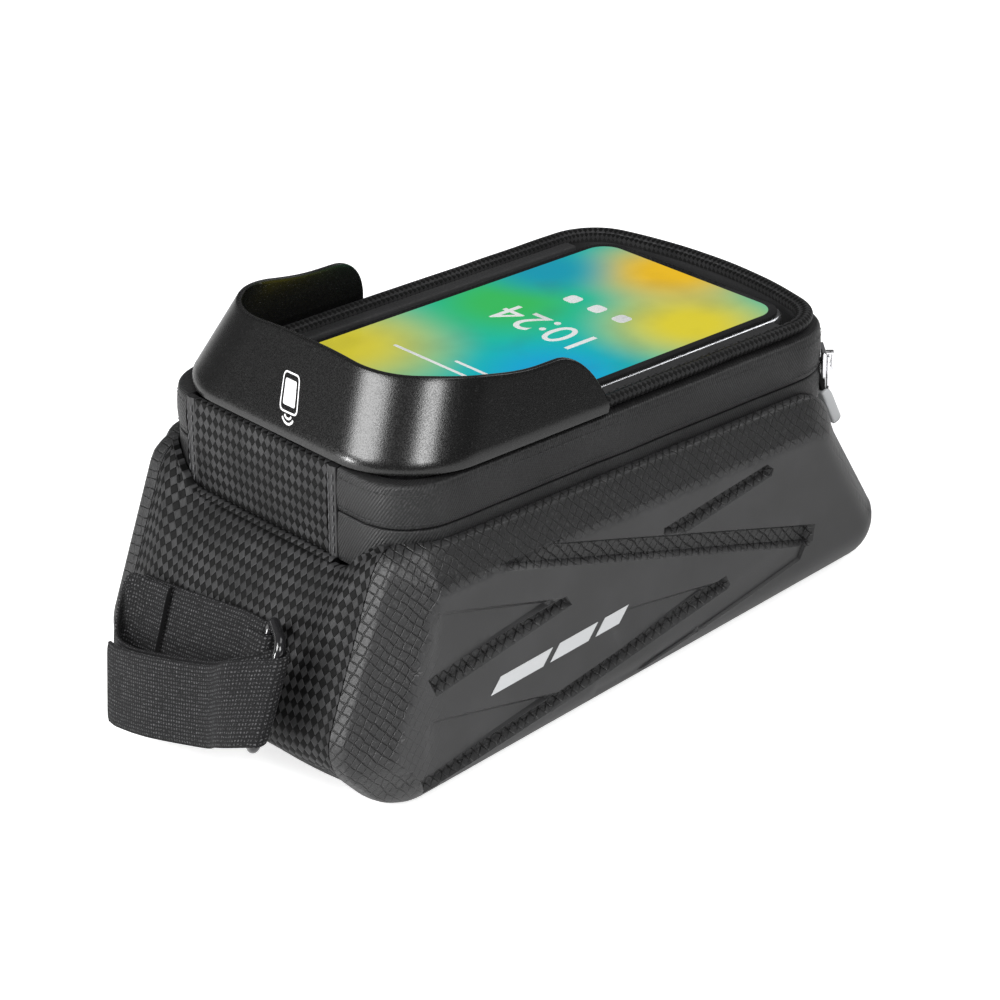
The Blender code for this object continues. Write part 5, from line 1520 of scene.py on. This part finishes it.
def gusset_path(y, wall):
    share = min(1.0, abs(y) / GUSSET_EDGE_Y)
    edge = gusset_edge()
    front_anchor = POD_CORNER_STEPS + POD_EDGE_STEPS[0]
    rear_anchor = len(edge) - REAR_BLEND_POINTS
    ear = smooth_step(abs(y), FRONT_CORNER_Y - 6.0, GUSSET_EDGE_Y)
    top_drop = BAND_DROP + SEAT_GAP + (POD_TOP_DROP - BAND_DROP) * ear
    start_x = lid_front_x_at(y) + SEAM_STRIP_THICKNESS + (GUSSET_WALL - wall)
    start = Vector(lid_to_bag(start_x, -top_drop))
    end_x = lid_rear_x_at(y) - SEAT_GAP - (GUSSET_WALL - wall) + 1.5
    end = Vector(lid_to_bag(end_x, -BAND_DROP - SEAT_GAP))
    path = [point + out * (gusset_crown(out, share) - wall) for point, out in edge]
    front = path[front_anchor]
    rear = path[rear_anchor]
    slope = (front - start).normalized()
    square = Vector((-slope.y, slope.x))
    for i in range(front_anchor):
        part = i / front_anchor
        belly = GUSSET_FRONT_BELLY * 4 * part * (1 - part)
        straight = start.lerp(front, part) + square * belly
        path[i] = straight.lerp(path[i], ear * min(1.0, part * 4))
    last = len(path) - 1
    for i in range(rear_anchor + 1, last + 1):
        part = (last - i) / (last - rear_anchor)
        path[i] = end.lerp(rear, part)
    return path


def make_gusset():
    half = [math.sin(k / 16 * math.pi / 2) for k in range(17)]
    columns = [-share for share in reversed(half[1:])] + half
    outer = []
    inner = []
    for share in columns:
        y = share * GUSSET_EDGE_Y
        near = 1 - abs(share) ** 6
        row = []
        for p in gusset_path(y, 0.0):
            push = 0.5 * near * noise.noise(Vector((p.x / 26.0, y / 15.0, p.y / 22.0)))
            row.append(in_bag((p.x + push, y, p.y)))
        outer.append(row)
        inner.append([in_bag((p.x, y, p.y)) for p in gusset_path(y, GUSSET_WALL)])
    dress_solid("gusset_cloth", sheet(outer, inner), CHECKER, "bag", "checker_fabric", "gusset", sharp=50.0)


# Front strap, its pad and its ring

def panel_x(y, z):
    path = gusset_path(y, 0.0)
    for low, high in zip(path[1:], path):
        if low.y <= z <= high.y and high.x > 0:
            return low.x + (high.x - low.x) * (z - low.y) / (high.y - low.y)
    return path[0].x


def panel_lean(y, z):
    half = STRAP_WIDTH / 2 * 0.8
    return math.atan2(panel_x(y, z - half) - panel_x(y, z + half), 2 * half)


def ribbon_frame(path, i):
    """Middle, outward direction and rise of a ribbon; a path point is x, y, height and lean."""
    before = path[max(0, i - 1)]
    after = path[min(len(path) - 1, i + 1)]
    along = Vector((after[0] - before[0], after[1] - before[1])).normalized()
    out = Vector((along.y, -along.x, 0.0))
    rise = Vector((-math.sin(path[i][3]), 0.0, math.cos(path[i][3])))
    return Vector(path[i][:3]), out, rise


def ribbon(path, width, thickness, across=12):
    """A flat band of cloth on edge, with rounded edges."""
    shares = [2 * k / across - 1 for k in range(across + 1)]
    sections = []
    for i in range(len(path)):
        middle, out, rise = ribbon_frame(path, i)
        ring = []
        for face, order in ((1, shares), (-1, shares[::-1])):
            for share in order:
                thin = 0.5 * thickness * (1 - 0.5 * abs(share) ** 12)
                ring.append(in_bag(middle + rise * (width / 2 * share) + out * (face * thin)))
        sections.append(ring)
    return loft(sections, wrap=False)


def pad_height(y):
    return RING_HEIGHT - PAD_SLOPE * max(0.0, RING_INNER_Y - RING_SPAN - y)


PAD_LEAN = panel_lean(RING_INNER_Y, RING_HEIGHT)
PAD_SEAT = SEAT_GAP + STRAP_THICKNESS / 2
WRAP_RADIUS = RING_BAR_RADIUS + SEAT_GAP + STRAP_THICKNESS / 2
RING_INNER_X = panel_x(RING_INNER_Y, RING_HEIGHT) + PAD_SEAT + WRAP_RADIUS
RING_OUTER_X = RING_INNER_X + RING_SPAN * math.sin(RING_TURN)
RING_OUTER_Y = RING_INNER_Y + RING_SPAN * math.cos(RING_TURN)


def ring_wrap(x, y, start, end, steps):
    points = []
    for step in range(steps + 1):
        angle = math.radians(start + (end - start) * step / steps)
        points.append(Vector((
            x + WRAP_RADIUS * math.cos(angle), y + WRAP_RADIUS * math.sin(angle), RING_HEIGHT, PAD_LEAN)))
    return points


def make_front_ring():
    corner = 2 * RING_BAR_RADIUS
    half_height = STRAP_WIDTH / 2 + corner
    across = Vector((math.sin(RING_TURN), math.cos(RING_TURN), 0.0))
    up = Vector((-math.sin(PAD_LEAN), 0.0, math.cos(PAD_LEAN)))
    face = across.cross(up).normalized()
    low = Vector((RING_INNER_X, RING_INNER_Y, RING_HEIGHT))
    corners = (
        (RING_SPAN - corner, half_height - corner, 0), (corner, half_height - corner, 90),
        (corner, corner - half_height, 180), (RING_SPAN - corner, corner - half_height, 270),
    )
    path = []
    for span, height, start in corners:
        for step in range(9):
            angle = math.radians(start + 90 * step / 8)
            reach = span + corner * math.cos(angle)
            path.append(low + across * reach + up * (height + corner * math.sin(angle)))
    sections = []
    for i, point in enumerate(path):
        along = (path[(i + 1) % len(path)] - path[i - 1]).normalized()
        side = along.cross(face)
        sections.append([in_bag(point + (face * math.cos(a) + side * math.sin(a)) * RING_BAR_RADIUS)
                         for a in (k * math.pi / 8 for k in range(16))])
    dress_solid("ring_bar", loft(sections, wrap=True), RING_PLASTIC, "bag", "ring_plastic", "front_ring")


def edge_path(path, side, from_edge):
    """Where thread runs along the strap's edge, on its outer face."""
    rows = []
    for i in range(len(path)):
        middle, out, rise = ribbon_frame(path, i)
        place = middle + rise * (side * (STRAP_WIDTH / 2 - from_edge)) + out * STRAP_THICKNESS / 2
        rows.append((in_bag(place), out))
    return rows


def make_front_pad():
    path = []
    for y in spaced(PAD_LEFT_Y, 10.0, 2.0):
        z = pad_height(y)
        path.append(Vector((panel_x(y, z) + PAD_SEAT, y, z, panel_lean(y, z))))
    path += ring_wrap(RING_INNER_X, RING_INNER_Y, 180, 0, 14)
    path.append(Vector((RING_INNER_X + WRAP_RADIUS, RING_INNER_Y - PAD_TAIL, RING_HEIGHT, PAD_LEAN)))
    solid = ribbon(path, STRAP_WIDTH - 1.0, STRAP_THICKNESS)
    dress_solid("strap_pad", solid, STRAP_CLOTH, "bag", "strap_fabric", "front_strap_pad", sharp=50.0)


def front_strap_path():
    layer = STRAP_THICKNESS + 2 * SEAT_GAP
    sewn = []
    for y in (PAD_LEFT_Y + 14.0, PAD_LEFT_Y + 6.0):
        z = pad_height(y)
        sewn.append((panel_x(y, z) + PAD_SEAT + layer, y, z, panel_lean(y, z)))
    fold_x = sewn[-1][0]
    front_x = RING_OUTER_X + STRAP_REACH
    droop = RING_HEIGHT - STRAP_DROOP
    free = math.radians(8.0)
    inner_route = sewn + [
        (fold_x + 2.5, PAD_LEFT_Y - 1.0, (RING_HEIGHT + droop) / 2 + 2.0, 0.3),
        (front_x - 5.0, PAD_LEFT_Y + 1.0, droop - 4.0, free),
        (front_x, PAD_LEFT_Y + 12.0, droop - 3.0, free),
        (front_x, PAD_LEFT_Y + 26.0, droop, free),
        (front_x - 3.5, PAD_LEFT_Y + 46.0, droop + 4.0, free),
        (RING_OUTER_X + 4.8, RING_OUTER_Y - 11.0, RING_HEIGHT - 3.5, 0.25),
        (RING_OUTER_X + 2.8, RING_OUTER_Y - 5.8, RING_HEIGHT - 1.0, PAD_LEAN),
    ]
    path = smooth_curve(inner_route, 10)
    path += ring_wrap(RING_OUTER_X, RING_OUTER_Y, 230, 30, 20)
    outer_route = [
        (RING_OUTER_X + 5.2, RING_OUTER_Y - 4.0, RING_HEIGHT - 1.0, PAD_LEAN),
        (RING_OUTER_X + 7.0, RING_OUTER_Y - 11.0, RING_HEIGHT - 3.5, 0.25),
        (front_x - 3.5 + layer, PAD_LEFT_Y + 46.5, droop + 4.0, free),
        (front_x + layer, PAD_LEFT_Y + 26.0, droop, free),
        (front_x + layer, PAD_LEFT_Y + 12.0, droop - 3.0, free),
        (front_x + layer - 1.0, PAD_LEFT_Y + 6.0, droop - 4.0, free),
    ]
    return path + smooth_curve(outer_route, 10)


OUTER_STRAP_POINTS = 52


def make_front_strap():
    path = front_strap_path()
    solid = ribbon(path, STRAP_WIDTH, STRAP_THICKNESS)
    dress_solid("strap_loop", solid, STRAP_CLOTH, "bag", "strap_fabric", "front_strap", sharp=50.0)
    outer = path[-OUTER_STRAP_POINTS:]
    for name, side in (("upper", 1), ("lower", -1)):
        rows = edge_path(outer, side, 1.3)
        stitch_row(f"strap_{name}_stitches", rows, PALE_THREAD, "bag", "strap_fabric", STRAP_STITCH)


def make_base():
    soft_copy("base_plate", "base_board", BOARD_PLASTIC, "bag", "board_plastic", 0.3, 2)
    for place in ("front", "rear"):
        soft_copy(place + "_lower_strap", place + "_belly_strap", STRAP_CLOTH, "bag", "strap_fabric", 0.4, 2)
        for side in ("left", "right"):
            node = f"{place}_{side}_keeper"
            soft_copy(node + "_loop", node, STRAP_CLOTH, "bag", "strap_fabric", 0.3, 2)


# Zip sliders and pulls

def make_zip_pulls():
    soft_copy("side_slider_body", "side_slider", CHROME, "side_slider", "chrome", 0.25, 3)
    soft_copy("side_pull", "side_pull_plate", CHROME, "side_pull", "chrome", 0.2, 3)
    soft_copy("rear_slider_body", "rear_slider", CHROME, "rear_slider", "chrome", 0.25, 3)
    soft_copy("rear_pull_frame", "rear_pull_plate", CHROME, "rear_pull", "chrome", 0.2, 3)
    soft_copy("rear_tab_cloth", "rear_pull_tab", RIM_CHECKER, "rear_pull", "checker_fabric", 0.5, 3)
    soft_copy("rear_tab_end", "rear_pull_end", PULL_RUBBER, "rear_pull", "pull_rubber", 0.7, 4)


make_rim()
make_window()
make_phone()
make_pocket()
make_visor()
make_visor_print()
make_tapes()
make_teeth("upper_teeth", "lid", -ZIP_DROP + ZIP_SLOT / 2 + 0.15, 1, "upper_zip_coil")
make_teeth("lower_teeth", "bag", -ZIP_DROP - ZIP_SLOT / 2 - 0.15, -1, "lower_zip_coil")
make_front_band()
make_seam_strips()
for place, side in (("left", 1), ("right", -1)):
    make_pod(place, side)
    make_bars(place, side)
make_gusset()
make_front_ring()
make_front_pad()
make_front_strap()
make_base()
make_zip_pulls()


# Floor, light and camera

def lit_material(name, colour, seen, mirrored):
    """A plain surface that reads as white to the camera, and as pale in reflections."""
    look = Look(name, colour, 0.9)
    path = look.node("ShaderNodeLightPath")
    rays = look.math("MAXIMUM", path.outputs["Is Camera Ray"], path.outputs["Is Transmission Ray"])
    gloss = look.times(path.outputs["Is Glossy Ray"], mirrored)
    look.set("Emission Color", (1.0, 1.0, 1.0, 1.0))
    look.link(look.plus(look.times(rays, seen), gloss), "Emission Strength")
    return look.material


def make_floor():
    size = 4.0
    mesh = bpy.data.meshes.new("floor")
    corners = [(x * size, y * size, 0.0) for x, y in ((-1, -1), (1, -1), (1, 1), (-1, 1))]
    mesh.from_pydata(corners, [], [(0, 1, 2, 3)])
    floor = bpy.data.objects.new("floor", mesh)
    bpy.context.scene.collection.objects.link(floor)
    mesh.materials.append(lit_material("floor_white", (0.8, 0.8, 0.8), 0.72, 0.2))


def make_light(name, direction, distance, size, power, target=(0.0, 0.0, 0.06)):
    lamp = bpy.data.lights.new(name, "AREA")
    lamp.shape = "RECTANGLE"
    lamp.size, lamp.size_y = size
    lamp.energy = power
    holder = bpy.data.objects.new(name, lamp)
    bpy.context.scene.collection.objects.link(holder)
    holder.location = Vector(target) + Vector(direction).normalized() * distance
    holder.rotation_euler = (Vector(target) - holder.location).to_track_quat("-Z", "Y").to_euler()


WORLD_DIM = 0.12
WORLD_WHITE = 1.0


def make_world():
    """White to the camera and through clear film; dim as light on the bag and in its gloss."""
    world = bpy.data.worlds.new("studio")
    bpy.context.scene.world = world
    world.use_nodes = True
    tree = world.node_tree
    back = tree.nodes["Background"]
    back.inputs["Color"].default_value = (1.0, 1.0, 1.0, 1.0)
    path = tree.nodes.new("ShaderNodeLightPath")
    level = None
    for ray in ("Is Transmission Ray", "Is Camera Ray"):
        mixed = tree.nodes.new("ShaderNodeMix")
        tree.links.new(path.outputs[ray], mixed.inputs[0])
        if level is None:
            mixed.inputs[2].default_value = WORLD_DIM
        else:
            tree.links.new(level, mixed.inputs[2])
        mixed.inputs[3].default_value = WORLD_WHITE
        level = mixed.outputs[0]
    tree.links.new(level, back.inputs["Strength"])


# The camera as fitted to the photograph, in the lid frame
CAMERA_AZIMUTH = math.radians(137.28)
CAMERA_ELEVATION = math.radians(26.01)
CAMERA_DISTANCE = 900.8
CAMERA_SHIFT_RIGHT = -2.99
CAMERA_SHIFT_UP = -43.17
LENS_PER_FRAME = 3.2
SENSOR_WIDTH = 36.0


def make_camera():
    back = Vector((math.sin(CAMERA_AZIMUTH) * math.cos(CAMERA_ELEVATION),
                   -math.cos(CAMERA_AZIMUTH) * math.cos(CAMERA_ELEVATION), math.sin(CAMERA_ELEVATION)))
    right = (-back).cross(Vector((0.0, 0.0, 1.0))).normalized()
    up = right.cross(-back)
    eye = back * CAMERA_DISTANCE + right * CAMERA_SHIFT_RIGHT + up * CAMERA_SHIFT_UP
    turn = Matrix.Rotation(-LID_PITCH, 3, "Y")
    camera = bpy.data.cameras.new("camera")
    camera.sensor_width = SENSOR_WIDTH
    camera.lens = SENSOR_WIDTH * LENS_PER_FRAME
    camera.clip_start = 0.05
    holder = bpy.data.objects.new("camera", camera)
    bpy.context.scene.collection.objects.link(holder)
    axes = Matrix((turn @ right, turn @ up, turn @ back)).transposed()
    holder.matrix_world = Matrix.Translation(in_lid(eye) * MM) @ axes.to_4x4()
    bpy.context.scene.camera = holder


# Places that the lamps aim at, in metres
VISOR_CORNER = (0.09, 0.04, 0.105)
POD_SLOPE_MIDDLE = (0.09, 0.05, 0.04)

make_floor()
make_world()
make_light("key_front", (0.77, -0.22, 0.588), 0.8, (0.44, 0.36), 7.0, VISOR_CORNER)
make_light("strip_side", (0.307, 0.76, 0.574), 0.9, (0.27, 0.4), 5.4, VISOR_CORNER)
make_light("low_front", (0.88, -0.46, 0.12), 0.9, (0.14, 0.2), 4.0, POD_SLOPE_MIDDLE)
make_light("soft_above", (-0.2, 0.3, 1.0), 1.0, (0.6, 0.5), 2.6)
make_light("fill_rear", (-1.0, 0.2, 0.6), 1.1, (0.5, 0.5), 2.5)
make_camera()
bpy.context.scene.view_settings.view_transform = "Standard"
